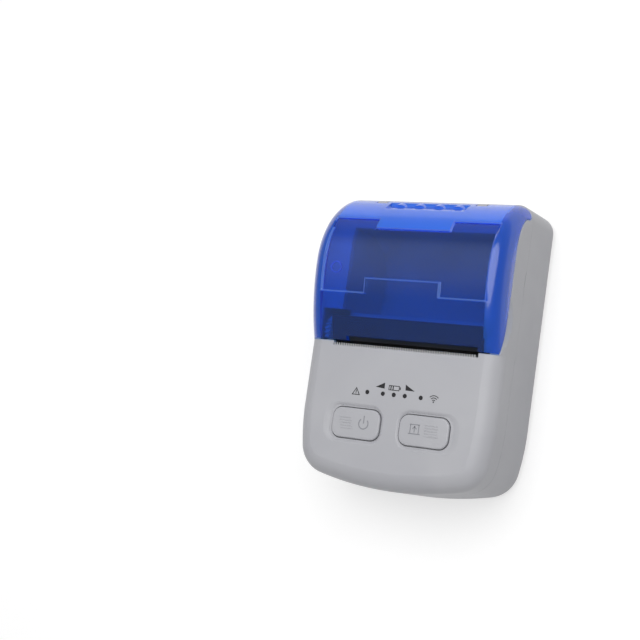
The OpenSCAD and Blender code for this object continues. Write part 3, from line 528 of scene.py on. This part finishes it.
MAT = {
    "housing": plastic("housing_grey", (0.452, 0.455, 0.482), (0.425, 0.428, 0.458),
                       (0.55, 0.55, 0.58), rough=(0.34, 0.5), grain=0.28, bump=0.012),
    "key": plastic("key_grey", (0.455, 0.458, 0.485), (0.43, 0.433, 0.462), (0.62, 0.62, 0.65),
                   rough=(0.3, 0.44), grain=0.25, bump=0.01, edge=0.00025, wear=0.7),
    "icon": plastic("icon_grey_print", (0.27, 0.275, 0.30), (0.24, 0.245, 0.27), (0.3, 0.3, 0.33),
                    rough=(0.4, 0.5), grain=0.2, bump=0.004, edge=0.00004, wear=0.2),
    "print": plastic("panel_print_black", (0.010, 0.010, 0.012), (0.014, 0.014, 0.016),
                     (0.03, 0.03, 0.032), rough=(0.4, 0.55), grain=0.2, bump=0.004,
                     edge=0.00004, wear=0.3),
    "black": plastic("mechanism_black", (0.016, 0.016, 0.018), (0.022, 0.022, 0.025),
                     (0.06, 0.06, 0.065), rough=(0.38, 0.55), bump=0.02, ior=1.25),
    "bin": plastic("bin_grey", (0.35, 0.365, 0.385), (0.32, 0.335, 0.355), (0.45, 0.46, 0.48),
                   rough=(0.35, 0.5), bump=0.02),
    "battery": plastic("battery_wrap", (0.022, 0.024, 0.03), (0.03, 0.032, 0.04),
                       (0.09, 0.09, 0.1), rough=(0.25, 0.4), grain=1.2, bump=0.02),
    "gear": plastic("gear_ivory", (0.68, 0.66, 0.57), (0.62, 0.6, 0.5), (0.78, 0.76, 0.68),
                    rough=(0.4, 0.55), bump=0.01, edge=0.00008),
    "ivory": plastic("connector_ivory", (0.72, 0.71, 0.65), (0.66, 0.65, 0.58), (0.8, 0.79, 0.74),
                     rough=(0.4, 0.55), bump=0.01, edge=0.0001),
    # head's top painted near-black: painted shade in the slot, and the resin over its drivers
    "ceramic": painted_shade_rim(plastic("head_ceramic", (0.76, 0.75, 0.70), (0.7, 0.69, 0.64),
                                (0.85, 0.84, 0.8), rough=(0.2, 0.32), grain=0.15, bump=0.006,
                                edge=0.00008), 0.72),
    "ribbon": plastic("ribbon_amber", (0.48, 0.22, 0.045), (0.4, 0.17, 0.03), (0.6, 0.33, 0.1),
                      rough=(0.18, 0.3), grain=0.8, bump=0.006, edge=0.00004, coat=0.4),
    "board": plastic("board_green", (0.012, 0.085, 0.035), (0.009, 0.062, 0.026),
                     (0.3, 0.28, 0.16), rough=(0.25, 0.38), grain=0.9, bump=0.02, coat=0.5),
    "chip": plastic("chip_black", (0.014, 0.014, 0.016), (0.02, 0.02, 0.023), (0.06, 0.06, 0.065),
                    rough=(0.42, 0.55), grain=0.12, bump=0.01, edge=0.00006),
    "lamp": plastic("lamp_white", (0.80, 0.80, 0.74), (0.74, 0.74, 0.66), (0.86, 0.86, 0.82),
                    rough=(0.15, 0.25), grain=0.3, bump=0.004, edge=0.00006),
    "pipe": plastic("light_pipe_dark", (0.010, 0.010, 0.012), (0.014, 0.014, 0.017),
                    (0.05, 0.05, 0.06), rough=(0.3, 0.4), grain=0.5, bump=0.004,
                    edge=0.00005, wear=0.1),
    "rubber": plastic("platen_rubber", (0.018, 0.018, 0.020), (0.026, 0.026, 0.028),
                      (0.05, 0.05, 0.055), rough=(0.55, 0.75), grain=0.3, bump=0.03, ior=1.25),
    "tear": metal("tear_steel_satin", (0.94, 0.945, 0.95), (0.86, 0.865, 0.87), rough=0.5),
    "steel": metal("steel_bright", (0.66, 0.67, 0.69), (0.5, 0.5, 0.52), rough=0.2),
    "motor": metal("motor_can", (0.5, 0.51, 0.53), (0.4, 0.4, 0.42), rough=0.28),
    "tin": metal("radio_can", (0.62, 0.63, 0.64), (0.5, 0.5, 0.5), rough=0.26),
    # heatsink's top painted near-black: painted shade seen through the slot
    "alloy": painted_shade_rim(metal("heatsink_alloy", (0.62, 0.63, 0.65), (0.5, 0.51, 0.53), rough=0.34),
                      0.9),
    "gold": metal("contact_gold", (0.72, 0.50, 0.20), (0.5, 0.33, 0.12), rough=0.2),
    "cover": cover_material("cover_clear_blue", 0.95, 0.07, (0.020, 0.22, 0.80),
                            (0.022, 0.060, 0.60), (0.22, 0.64, 0.96)),
    "frosted": cover_material("cover_frosted_blue", 0.5, 0.16, (0.007, 0.115, 0.60),
                              (0.005, 0.050, 0.50), (0.30, 0.60, 0.94)),
    # lighter blue at the roll end: painted sheen of the cover's rear band
    "painted_sheen": cover_material("cover_roll_end_painted_sheen", 0.35, 0.14, (0.035, 0.21, 0.90),
                              (0.03, 0.16, 0.84), (0.40, 0.68, 0.97)),
    # lighter blue on the steps' edges: painted highlight of the edges catching light
    "painted_step_highlight": cover_material("cover_step_painted_highlight", 0.55, 0.16, (0.13, 0.31, 0.92),
                           (0.09, 0.13, 0.80), (0.40, 0.60, 0.95)),
}

# CAD nodes that are shown as they are, with the finish of each
SHOWN = {
    "bin": ("paper_bin",), "black": ("mechanism_frame", "platen_bracket"),
    "battery": ("battery_pack",), "gold": ("battery_contacts",),
    "steel": ("head_pivot_pin", "reduction_axle", "motor_shaft", "head_spring",
              "board_screws", "usb_port", "case_screws", "hinge_pin", "platen_shaft"),
    "motor": ("motor_body",), "gear": ("motor_pinion", "reduction_gear", "platen_gear"),
    "ceramic": ("print_head",), "alloy": ("head_heatsink",), "ribbon": ("head_flex",),
    "ivory": ("flex_connector", "power_plunger", "feed_plunger", "platen_bushes"),
    "chip": ("paper_sensor", "board_chips", "switch_bodies"), "board": ("main_board",),
    "tin": ("radio_module",), "lamp": ("lamps",), "pipe": ("light_pipes",),
    "rubber": ("platen_rubber",),
}
for finish, names in SHOWN.items():
    for name in names:
        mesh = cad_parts[name].data
        mesh.materials.clear()
        mesh.materials.append(MAT[finish])


# Lower housing and battery door

def lower_cup(name):
    """Open lower shell with its rounded back edge and a small chamfer at the parting line."""
    outer, inner = [], []
    for a in np.linspace(0, 90, 15):
        s, c = math.sin(math.radians(a)), math.cos(math.radians(a))
        outer.append(ring(BACK_EDGE_R * (1 - s), BACK_EDGE_R * (1 - c)))
        r = BACK_EDGE_R - WALL
        inner.append(ring(WALL + r * (1 - s), WALL + r * (1 - c)))
    outer += [ring(0, PARTING_H - GROOVE_H), ring(GROOVE_D, PARTING_H)]
    inner += [ring(WALL, PARTING_H)]
    return loft(name, outer + inner[::-1])


def door_view(rear_gap, front_gap, top, lip):
    """Side view of the battery door, or of its opening where there are gaps."""
    rear, front = BAY_REAR - DOOR_GAP + rear_gap, DOOR_FLOOR_Y + front_gap
    return [(-HALF_L - 1, -1.0), (rear, -1.0), (rear, top), (front, top), (front, lip),
            (-HALF_L - 1, lip)]


def lower_shell():
    shell = lower_cup("lower_shell")
    cut(shell, across("bay_opening", door_view(DOOR_GAP, DOOR_FRONT_GAP, WALL + 1, DOOR_LIP + DOOR_GAP),
                      -BAY_HALF, BAY_HALF))
    pockets = []
    for y in TAB_YS:
        front, mid, rear = y - TAB_L - DOOR_GAP - DOOR_TRAVEL, y - TAB_L - DOOR_GAP, y + DOOR_GAP
        view = [(front, -1.0), (mid, -1.0), (mid, 1.0), (rear, 1.0), (rear, WALL + 0.5),
                (front, WALL + 0.5)]
        for x0 in (BAY_HALF - TAB_REACH, -BAY_HALF - POCKET_REACH):
            pockets.append(across("pocket", view, x0, x0 + TAB_REACH + POCKET_REACH))
    bores = [post("bore", s * x, y, WELL_R, -1, WELL_TOP) for x, y in SCREWS for s in (-1, 1)]
    cut(shell, joined("pockets", pockets), joined("bores", bores))
    posts = []
    for x, y in SCREWS:
        for s in (-1, 1):
            column = post("column", s * x, y, COLUMN_R, 1.5, PARTING_H - 0.05)
            posts.append(cut(column, post("bore", s * x, y, WELL_R, -1, WELL_TOP),
                             post("bore", s * x, y, THREAD_R, WELL_TOP - 1, 60)))
    posts += [post("foot", x, y, FOOT_R, 1.5, FOOT_H) for x, y in FEET]
    out, back, low = BAY_HALF + BAY_WALL, BAY_REAR + BAY_WALL, WALL - 0.1
    walls = [block("bay_roof", -out, out, -51.5, back, BAY_H, BAY_H + BAY_WALL),
             block("bay_back", -out, out, BAY_REAR, back, low, BAY_H)]
    walls += [block("bay_side", *sorted((s * BAY_HALF, s * out)), -50.5, BAY_REAR, low, BAY_H)
              for s in (-1, 1)]
    return joined("lower_shell", [shell] + posts + walls)


def battery_door():
    door = lower_cup("battery_door")
    combine(door, across("door_shape", door_view(0.0, 0.0, WALL + 0.1, DOOR_LIP), -BAY_HALF + DOOR_GAP,
                         BAY_HALF - DOOR_GAP), "INTERSECT")
    grooves = []
    for i in range(-2, 3):
        y = THUMB_Y + i * THUMB_PITCH
        grooves.append(block("groove", -THUMB_HALF, THUMB_HALF, y, y + THUMB_W, -1, THUMB_D))
    cut(door, joined("grooves", grooves))
    tabs = [block("tab", *sorted((s * (BAY_HALF - TAB_REACH), s * (BAY_HALF + TAB_REACH))), y - TAB_L, y,
                  TAB_Z, WALL) for y in TAB_YS for s in (-1, 1)]
    return joined("battery_door", [door] + tabs)


# Upper housing

CUT_CORNER_R = 12.0


def upper_cup(name):
    """Upper shell with the rounded edge of the key panel, which ends in a faint crease."""
    def edge(inset, r, top, sweep, steps):
        rings = []
        for a in np.linspace(0, sweep, steps):
            d = r * (1 - math.cos(math.radians(a))) / (1 - math.cos(math.radians(sweep)))
            rise = r * math.sin(math.radians(a)) / math.sin(math.radians(sweep))
            rings.append(ring(inset + d, top - r + rise, CUT_CORNER_R))
        return rings
    outer = [ring(GROOVE_D, PARTING_H, CUT_CORNER_R), ring(0, PARTING_H + GROOVE_H, CUT_CORNER_R)]
    outer += edge(0, PANEL_EDGE_R, PANEL_H, 83, 24)
    inner = [ring(WALL, PARTING_H, CUT_CORNER_R)]
    inner += edge(WALL, PANEL_EDGE_R - WALL, PANEL_H - WALL, 90, 10)
    return loft(name, outer[::-1] + inner)


def key_dish(s):
    """Cutter for the shallow dish round a key."""
    rings = []
    for t in np.linspace(0, 1, 7):
        depth = 0.55 * (1 - t) ** 1.7
        outline = round_rect(s * (KEY_X + 0.5 + 0.9 * t), KEY_Y, KEY_W + 1.5 + 4.4 * t,
                             KEY_D + 1.5 + 2.6 * t, KEY_R + 0.7 + 1.6 * t, 14)
        rings.append(at_height(outline, PANEL_H - depth + (0.02 if t == 1 else 0)))
    rings.append(at_height(outline, PANEL_H + 1))
    return loft("dish", rings)


def panel_part():
    shell = upper_cup("panel_part")
    combine(shell, block("keep", -HALF_W - 1, HALF_W + 1, -HALF_L - 1, PANEL_END, 20, 42), "INTERSECT")
    windows = [prism("window", round_rect(s * KEY_X, KEY_Y, KEY_W + 2 * KEY_GAP, KEY_D + 2 * KEY_GAP,
                                          KEY_R + KEY_GAP, 14), PANEL_H - 4, PANEL_H + 2)
               for s in (-1, 1)]
    holes = [post("lamp_hole", x, LAMP_Y, LAMP_D / 2 + 0.08, PANEL_H - 4, PANEL_H + 2, 28)
             for x in LAMP_XS]
    cut(shell, joined("dishes", [key_dish(-1), key_dish(1)]), joined("windows", windows + holes),
        block("slot", SLOT_LEFT, SLOT_RIGHT, TEAR_FACE, PANEL_END + 1, CHEEK_H - 3, 50),
        block("mouth", LEFT_IN - 0.05, RIGHT_IN + 0.05, PANEL_END - 1, 2, CHEEK_H - 8, 50),
        block("socket", -HALF_W - 1, -HALF_W + 3, *SOCKET_Y, *SOCKET_Z))
    return shell


def cheek_part():
    """Cheeks, deck and rear wall that the cover closes on."""
    shell = prism("cheek_part", housing_outline(0), PARTING_H, 45)
    combine(shell, across("cheeks", cheek_view(0, PANEL_END), -50, 50), "INTERSECT")
    combine(shell, arch_solid("arch"), "INTERSECT")
    inside = prism("inside", housing_outline(WALL), PARTING_H - 1, 45)
    combine(inside, across("inside_view", cheek_view(WALL, -12), -50, 50), "INTERSECT")
    cut(shell, inside)
    for s in (-1, 1):
        ball = bmesh.new()
        bmesh.ops.create_uvsphere(ball, u_segments=120, v_segments=80, radius=SCOOP_R * MM)
        mesh = bpy.data.meshes.new("scoop")
        ball.to_mesh(mesh)
        ball.free()
        scoop = bpy.data.objects.new("scoop", mesh)
        bpy.context.scene.collection.objects.link(scoop)
        off = math.sqrt(SCOOP_R ** 2 - SCOOP_HALF ** 2)
        mesh.transform(Matrix.Translation(Vector((s * (HALF_W + off), SCOOP_Y, CHEEK_H + SCOOP_RISE)) * MM))
        combine(scoop, block("part", -HALF_W - 1, HALF_W + 1, COVER_FRONT, CROWN_Y, PARTING_H, 60),
                "INTERSECT")
        cut(shell, scoop)
    r = BARREL_R + COVER_GAP
    reliefs = [bar("relief", HINGE_Y, HINGE_Z, r, -LUG_X + LUG_ROOM, LUG_X - LUG_ROOM)]
    reliefs += [bar("relief", HINGE_Y, HINGE_Z, r, *sorted((s * (LUG_X + LUG_ROOM), s * (HALF_W + 1))))
                for s in (-1, 1)]
    cut(shell, joined("reliefs", reliefs),
        block("mouth", LEFT_IN - 0.05, RIGHT_IN + 0.05, PANEL_END - 1, ROLL_ROOM_REAR, CHEEK_H - 8, 50),
        block("gear_room", GEAR_ROOM_LEFT, GEAR_ROOM_RIGHT, PANEL_END - 1, GEAR_ROOM_REAR, CHEEK_H - 8, 50))
    lugs = []
    for s in (-1, 1):
        x0, x1 = s * LUG_X - LUG_W / 2, s * LUG_X + LUG_W / 2
        lugs.append(bar("lug", HINGE_Y, HINGE_Z, BARREL_R, x0, x1))
        lugs.append(block("lug_foot", x0, x1, CHEEK_REAR - WALL - 0.5, HINGE_Y, HINGE_Z - BARREL_R,
                          HINGE_Z - 0.4))
    return joined("cheek_part", [shell] + lugs)


# Cover

def below_cheek(y, z):
    """True where a point lies under the gap line between cover and cheeks."""
    cy, cz, r = CHEEK_REAR - CHEEK_R, CHEEK_H - CHEEK_R, CHEEK_R + COVER_GAP
    if z > CHEEK_H + COVER_GAP:
        return False
    return y <= cy or z <= cz or math.hypot(y - cy, z - cz) <= r


def skirt_drop(station):
    """How far the skirt reaches down from the arch at a station."""
    low, high = 2.5, 26.0
    for _ in range(40):
        mid = (low + high) / 2
        if below_cheek(*arch_point(station, mid)[:2]):
            high = mid
        else:
            low = mid
    return low


def side_profile(half, e, top, end, steps):
    """Points (x, drop) of one side, from the flat top round the edge down to the skirt's end."""
    turn = math.acos(max(-1.0, min(1.0, 1 - (end - top) / e))) if end - top < e else math.pi / 2
    length = e * turn + max(end - top - e, 0.0)
    points = []
    for k in range(1, steps + 1):
        s = length * k / steps
        if s <= e * turn + 1e-9 and s / e <= math.pi / 2 + 1e-9:
            t = s / e
            points.append((half - e + e * math.sin(t), top + e - e * math.cos(t)))
        else:
            points.append((half, top + e + (s - e * math.pi / 2)))
    return points


def cover_stations():
    """Shares along the arch, closer together at the steps and at the ribs' ends."""
    front_turn = math.asin((CROWN_Y - COVER_FRONT) / FRONT_ARC_R)
    rear_turn = math.pi / 2 - math.asin((HINGE_Z - REAR_ARC_Z) / REAR_ARC_R)
    marks, near = set(np.linspace(-1, 0, 25)) | set(np.linspace(0, 1, 49)), (-0.3, -0.2, 0.0, 0.2, 0.3)
    for y in (RECESS_FRONT, RECESS_FRONT + STEP_FRONT):
        for d in near:
            marks.add(-math.asin((CROWN_Y - y - d) / FRONT_ARC_R) / front_turn)
    for y in (RECESS_REAR, RECESS_REAR - STEP_REAR):
        for d in near:
            marks.add(math.asin((y + d - CROWN_Y) / REAR_ARC_R) / rear_turn)
    for a in list(np.arange(24, 40, 0.7)) + [RIB_END_A - 0.18, RIB_END_A + 0.18]:
        marks.add(math.radians(90 - a) / rear_turn)
    marks = sorted(marks)
    kept = [marks[0]]
    for m in marks[1:]:
        if m - kept[-1] > 0.0008:
            kept.append(m)
    return kept


def cover_shell():
    """Arched cover as one closed wall: outside with sunk panel and grip, inside, skirts and rims."""
    top_half = HALF_W - ARCH_EDGE_R
    xs = set(np.round(np.arange(-top_half, top_half + 0.01, top_half / 32), 4))
    for c in (-TAB_HALF, TAB_HALF, -GRIP_HALF, GRIP_HALF):
        xs |= {round(c + d, 4) for d in (-0.42, -0.3, -0.15, 0.0, 0.15, 0.3, 0.42)}
    for i in range(GRIP_RIBS):
        mid = (i - (GRIP_RIBS - 1) / 2) * GRIP_PITCH
        xs |= {round(mid + d, 4) for d in np.linspace(-3.1, 3.1, 13)}
    top = sorted(xs)
    top = [top[0]] + [b for a, b in zip(top, top[1:]) if b - a > 0.03]
    inner_top = list(np.linspace(-top_half, top_half, 34))
    rings = []
    for station in cover_stations():
        end = skirt_drop(station)
        right = side_profile(HALF_W, ARCH_EDGE_R, 0.0, end, 18)
        outer = [(-x, d) for x, d in right[::-1]] + [(x, 0.0) for x in top] + right
        inner_right = side_profile(HALF_W - COVER_WALL, ARCH_EDGE_R - COVER_WALL, COVER_WALL, end, 12)
        inner = ([(-x, d) for x, d in inner_right[::-1]] + [(x, COVER_WALL) for x in inner_top]
                 + inner_right)
        points = []
        for x, drop in outer:
            y, z, u = arch_point(station, drop)
            if drop < 1.0:
                sink = max(recess_depth(x, y), grip_drop(x, y, z))
                y, z = y - sink * u[0], z - sink * u[1]
            points.append((x, y, z))
        for x, drop in inner[::-1]:
            y, z, _u = arch_point(station, drop)
            points.append((x, y, z))
        rings.append(points)
    return loft("cover_shell", rings)


def paper_cover():
    """Cover with its hinge barrel, notched for the lugs, bored for the pin, and with a paper mouth."""
    shell = cover_shell()
    barrel = bar("barrel", HINGE_Y, HINGE_Z, BARREL_R, -HALF_W + 0.05, HALF_W - 0.05, 64)
    combine(barrel, arch_solid("arch"), "INTERSECT")
    combine(shell, barrel, "UNION")
    notches = [bar("notch", HINGE_Y, HINGE_Z, BARREL_R + COVER_GAP, s * LUG_X - LUG_ROOM,
                   s * LUG_X + LUG_ROOM) for s in (-1, 1)]
    notches.append(block("mouth", MOUTH_LEFT, SLOT_RIGHT, COVER_FRONT - 2, MOUTH_BACK, 30, 46))
    cut(shell, joined("notches", notches),
        bar("pin_hole", HINGE_Y, HINGE_Z, PIN_HOLE_R, -PIN_HALF, PIN_HALF, 32))
    return shell


def zone(x, y, z):
    """Which finish of the cover a point has: clear 0, matt sides 1, roll end lighter as painted sheen 2,
    edges of the steps lighter as painted highlight 3.
    """
    sunk = recess_depth(x, y) / RECESS_DEPTH
    edge = RECESS_FRONT < y < RECESS_FRONT + STEP_FRONT and abs(abs(x) - TAB_HALF) < 0.4
    if (edge or 0.04 < sunk < 0.96) and z > PANEL_H - 1 and abs(x) < HALF_W - ARCH_EDGE_R + 2:
        return 3
    rear = RECESS_REAR - STEP_REAR if abs(x) < TAB_HALF else RECESS_REAR
    if abs(x) > RECESS_HALF:
        return 1
    return 2 if y > rear else 0


def painted_in_zones(obj):
    """Gives each face of the cover the finish of its zone; the roll end and the step edges carry painted
    light.
    """
    mesh = obj.data
    for finish in ("frosted", "painted_sheen", "painted_step_highlight"):
        mesh.materials.append(MAT[finish])
    for face in mesh.polygons:
        face.material_index = zone(*(face.center / MM))


# Keys, marks and lamps

def key_cap(s, name):
    """Key with a retaining flange, a rounded rim and a slightly crowned face."""
    top, x = PANEL_H + KEY_PROUD, s * KEY_X
    flange = round_rect(x, KEY_Y, KEY_W + 2 * KEY_FLANGE, KEY_D + 2 * KEY_FLANGE, KEY_R + KEY_FLANGE, 14)
    rings = [at_height(flange, z) for z in FLANGE_Z]
    rings.append(at_height(round_rect(x, KEY_Y, KEY_W, KEY_D, KEY_R, 14), FLANGE_Z[1]))
    for a in np.linspace(0, 90, 9):
        c, n = KEY_RIM_R * (1 - math.cos(math.radians(a))), KEY_RIM_R * math.sin(math.radians(a))
        rings.append(at_height(round_rect(x, KEY_Y, KEY_W - 2 * c, KEY_D - 2 * c, KEY_R - c, 14),
                               top - 0.06 - KEY_RIM_R + n))
    rings.append(at_height(round_rect(x, KEY_Y, KEY_W - 4.5, KEY_D - 4.5, KEY_R - 2.25, 14), top - 0.02))
    return loft(name, rings)


def tear_edge():
    """Steel strip set in the slot's front wall, whose narrow teeth lean over the slot."""
    x0, x1, y = SLOT_LEFT + 0.2, SLOT_RIGHT - 0.2, TEAR_FACE
    base, foot = PANEL_H - 0.9, PANEL_H - 1.6
    strip = across("tear_edge", [(y - 0.3, foot), (y + 0.03, foot), (y + 0.03, base), (y - 0.3, base)],
                   x0, x1)
    teeth = []
    for i in range(int((x1 - x0) / TOOTH_PITCH)):
        mid = x0 + (i + 0.5) * TOOTH_PITCH
        rings = []
        # half width, reach over the slot, height from the panel and thickness of each ring
        for half, y0, z0, deep in ((0.23, 0.0, -1.6, 0.3), (0.23, 0.0, -0.04, 0.2), (0.13, 0.9, 0.2, 0.1)):
            rings.append([(mid - half, y + y0, PANEL_H + z0), (mid + half, y + y0, PANEL_H + z0),
                          (mid + half, y + y0 + deep, PANEL_H + z0 - deep * 0.3),
                          (mid - half, y + y0 + deep, PANEL_H + z0 - deep * 0.3)])
        teeth.append(loft("tooth", rings))
    return joined("tear_edge", [strip] + teeth)


def stroke(points, width, z0, z1, closed=False):
    """Line of a mark as a thin raised solid."""
    parts = []
    for (xa, ya), (xb, yb) in zip(points, points[1:] + (points[:1] if closed else [])):
        length = math.hypot(xb - xa, yb - ya)
        ux, uy = (xb - xa) / length, (yb - ya) / length
        nx, ny = -uy * width / 2, ux * width / 2
        ex, ey = ux * width / 2, uy * width / 2
        parts.append(prism("stroke", [(xa - ex - nx, ya - ey - ny), (xb + ex - nx, yb + ey - ny),
                                      (xb + ex + nx, yb + ey + ny), (xa - ex + nx, ya - ey + ny)],
                           z0, z1))
    return parts


def ring_mark(cx, cy, r, width, a0, a1, z0, z1, n=28):
    outer = arc((cx, cy), r + width / 2, a0, a1, n)
    inner = arc((cx, cy), r - width / 2, a0, a1, n)
    return [prism("ring_mark", outer + inner[::-1], z0, z1)]


def grip_line(cx, cy, length, z):
    """Thin raised line with a rounded back."""
    back = [(cy + 0.15 * math.cos(t), z + 0.12 * math.sin(t)) for t in np.linspace(-0.4, math.pi + 0.4, 9)]
    return across("grip_line", back, cx - length / 2, cx + length / 2)


def icon(parts, name, body, finish):
    finished(joined(name, parts), body, MAT[finish], sharp=40.0)


def key_marks():
    """Grip lines and generic signs on the two keys."""
    z = PANEL_H + KEY_PROUD
    left = [grip_line(-18.65 + 0.27 * i, -30.55 - 0.98 * i, 5.1, z) for i in range(5)]
    right = [grip_line(16.95 + 0.11 * i, -30.1 - 0.98 * i, 5.4, z) for i in range(5)]
    ink = (z - 0.1, z + 0.02)
    # power: an open ring with a bar
    power = ring_mark(-10.66, -32.2, 1.95, 0.42, 128, 412, *ink)
    power += stroke([(-10.66, -31.9), (-10.66, -29.4)], 0.42, *ink)
    # feed: an arrow up in a frame over a base line
    feed = stroke([(8.3, -33.6), (12.7, -33.6)], 0.36, *ink)
    feed += stroke([(8.8, -33.2), (8.8, -30.2), (12.2, -30.2), (12.2, -33.2)], 0.32, *ink)
    feed += stroke([(10.5, -32.9), (10.5, -30.9)], 0.32, *ink)
    feed += stroke([(9.8, -31.7), (10.5, -30.95), (11.2, -31.7)], 0.32, *ink)
    icon(left, "power_key_grip_lines", "power_key", "key")
    icon(right, "feed_key_grip_lines", "feed_key", "key")
    icon(power, "power_key_sign", "power_key", "icon")
    icon(feed, "feed_key_sign", "feed_key", "icon")


def panel_marks():
    """Printed signs round the lamps: battery, fault and link, with their wedges."""
    z0, z1 = PANEL_H - 0.1, PANEL_H + 0.012
    parts = [prism("wedge", [(-7.86, -18.01), (-4.11, -18.35), (-4.19, -16.08)], z0, z1),
             prism("wedge", [(4.58, -18.2), (8.34, -18.27), (4.38, -16.03)], z0, z1)]
    # battery: outline, pole and two bars
    parts += stroke([(-2.3, -17.0), (1.9, -17.0), (1.9, -18.6), (-2.3, -18.6)], 0.28, z0, z1, closed=True)
    parts += stroke([(2.35, -17.5), (2.35, -18.1)], 0.4, z0, z1)
    parts += stroke([(-1.5, -17.35), (-1.5, -18.25)], 0.45, z0, z1)
    parts += stroke([(-0.6, -17.35), (-0.6, -18.25)], 0.45, z0, z1)
    # fault: triangle with a bar and a dot
    parts += stroke([(-17.3, -21.6), (-14.3, -21.6), (-15.8, -19.1)], 0.3, z0, z1, closed=True)
    parts += stroke([(-15.8, -19.95), (-15.8, -20.75)], 0.3, z0, z1)
    parts += ring_mark(-15.8, -21.12, 0.1, 0.16, 0, 360, z0, z1, 10)
    # link: three arcs over a dot
    for r in (0.8, 1.6, 2.4):
        parts += ring_mark(16.4, -21.4, r, 0.3, 42, 138, z0, z1)
    parts += ring_mark(16.4, -21.35, 0.16, 0.3, 0, 360, z0, z1, 12)
    icon(parts, "panel_signs", "housing", "print")


# Assembly

finished(lower_shell(), "housing", MAT["housing"], ("lower_housing",))
finished(battery_door(), "battery_door", MAT["housing"], ("battery_cover",))
finished(joined("upper_shell", [panel_part(), cheek_part()]), "housing", MAT["housing"],
         ("upper_housing",))
cover = finished(paper_cover(), "cover", MAT["cover"], ("paper_cover",), sharp=24.0)
painted_in_zones(cover)
finished(key_cap(-1, "power_key_cap"), "power_key", MAT["key"], ("power_button",))
finished(key_cap(1, "feed_key_cap"), "feed_key", MAT["key"], ("feed_button",))
finished(tear_edge(), "housing", MAT["tear"], ("tear_bar",), sharp=20.0)
inside_h = ARCH_H - COVER_WALL
# the boss takes the lighter step-edge blue: painted highlight
icon(ring_mark(BOSS_X, BOSS_Y, BOSS_R, BOSS_W, 0, 360, inside_h - BOSS_H, inside_h + 0.05, 48),
     "cover_ring_boss", "cover", "painted_step_highlight")
key_marks()
panel_marks()


# Stage

def floor():
    mesh = bpy.data.meshes.new("floor")
    mesh.from_pydata([(-3, -3, 0), (3, -3, 0), (3, 3, 0), (-3, 3, 0)], [], [(0, 1, 2, 3)])
    obj = bpy.data.objects.new("floor", mesh)
    bpy.context.scene.collection.objects.link(obj)
    mat = bpy.data.materials.new("floor_white")
    mat.use_nodes = True
    mat.node_tree.nodes.clear()
    n = Nodes(mat.node_tree)
    paper = n.add("TexNoise", wires={"Vector": n.add("TexCoord").outputs["Object"], "Scale": 30.0})
    white = n.mix(paper.outputs["Fac"], colour(0.52, 0.52, 0.52), colour(0.50, 0.50, 0.50))
    matte = n.add("BsdfDiffuse", wires={"Color": white})
    ray = n.add("LightPath")
    seen = n.math("ADD", n.math("ADD", ray.outputs["Is Camera Ray"], ray.outputs["Is Glossy Ray"]),
                  ray.outputs["Is Transmission Ray"], clamp=True)
    glow = n.add("Emission", wires={"Color": (1, 1, 1, 1), "Strength": n.math("MULTIPLY", seen, 0.57)})
    both = n.add("AddShader", wires={0: matte.outputs["BSDF"], 1: glow.outputs["Emission"]})
    out = n.add("OutputMaterial")
    n.wire(both.outputs["Shader"], out.inputs["Surface"])
    mesh.materials.append(mat)


def round_light(name, place, aim, width, power):
    """Disc of light that looks from its place at a point."""
    data = bpy.data.lights.new(name, "AREA")
    data.shape, data.size, data.size_y, data.energy = "ELLIPSE", width, width, power
    obj = bpy.data.objects.new(name, data)
    bpy.context.scene.collection.objects.link(obj)
    obj.location = place
    obj.rotation_euler = (Vector(aim) - Vector(place)).to_track_quat("-Z", "Y").to_euler()


def world_light():
    """Grey studio that turns pale towards the horizon, with one broad soft light overhead."""
    world = bpy.data.worlds.new("studio")
    bpy.context.scene.world = world
    world.use_nodes = True
    n = Nodes(world.node_tree)
    way = n.add("TexCoord").outputs["Generated"]
    up = n.math("ABSOLUTE", n.add("SeparateXYZ", wires={"Vector": way}).outputs["Z"])
    low = n.math("POWER", n.math("SUBTRACT", 1.0, up, clamp=True), 3.0)
    lamp = n.add("VectorMath", operation="DOT_PRODUCT",
                 wires={0: way, 1: (-0.45, 0.33, 0.83)}).outputs["Value"]
    soft = n.add("MapRange", interpolation_type="SMOOTHSTEP",
                 wires={"Value": lamp, "From Min": 0.86, "From Max": 1.0}).outputs["Result"]
    level = n.math("ADD", n.math("MULTIPLY", low, 0.30), n.math("MULTIPLY", soft, 0.45))
    back = world.node_tree.nodes["Background"]
    back.inputs["Color"].default_value = (1, 1, 1, 1)
    n.wire(n.math("ADD", level, 0.28), back.inputs["Strength"])


# Fit of the photograph's camera: turns in radians, the printer's origin as the camera sees it in
# millimetres, and the focal length and the picture's width in pixels
ROLL, PITCH, YAW = -0.145846, -0.106961, -0.540472
ORIGIN_SEEN, FIT_SHIFT = (48.730, -16.386, -549.202), 2.5
FOCAL_PIXELS, PICTURE_PIXELS, SENSOR = 1400.2, 640, 36


def camera():
    """The photograph's camera, fitted to landmarks of the printer."""
    turn = (Matrix.Rotation(ROLL, 3, "Z") @ Matrix.Rotation(PITCH, 3, "X")
            @ Matrix.Rotation(YAW, 3, "Y"))
    place = -(turn.transposed() @ (Vector(ORIGIN_SEEN) * MM))
    place.y -= FIT_SHIFT * MM
    data = bpy.data.cameras.new("camera")
    data.sensor_width, data.lens = SENSOR, FOCAL_PIXELS / PICTURE_PIXELS * SENSOR
    obj = bpy.data.objects.new("camera", data)
    bpy.context.scene.collection.objects.link(obj)
    obj.matrix_world = Matrix.Translation(place) @ turn.transposed().to_4x4()
    bpy.context.scene.camera = obj


floor()
world_light()
round_light("key_light", (0.22, 0.30, 0.95), (0, 0, 0.02), 1.1, 8.3)
round_light("fill_light", (0.35, -0.9, 0.5), (0, 0, 0.03), 0.7, 0.7)
camera()
bpy.context.scene.view_settings.view_transform = "Standard"
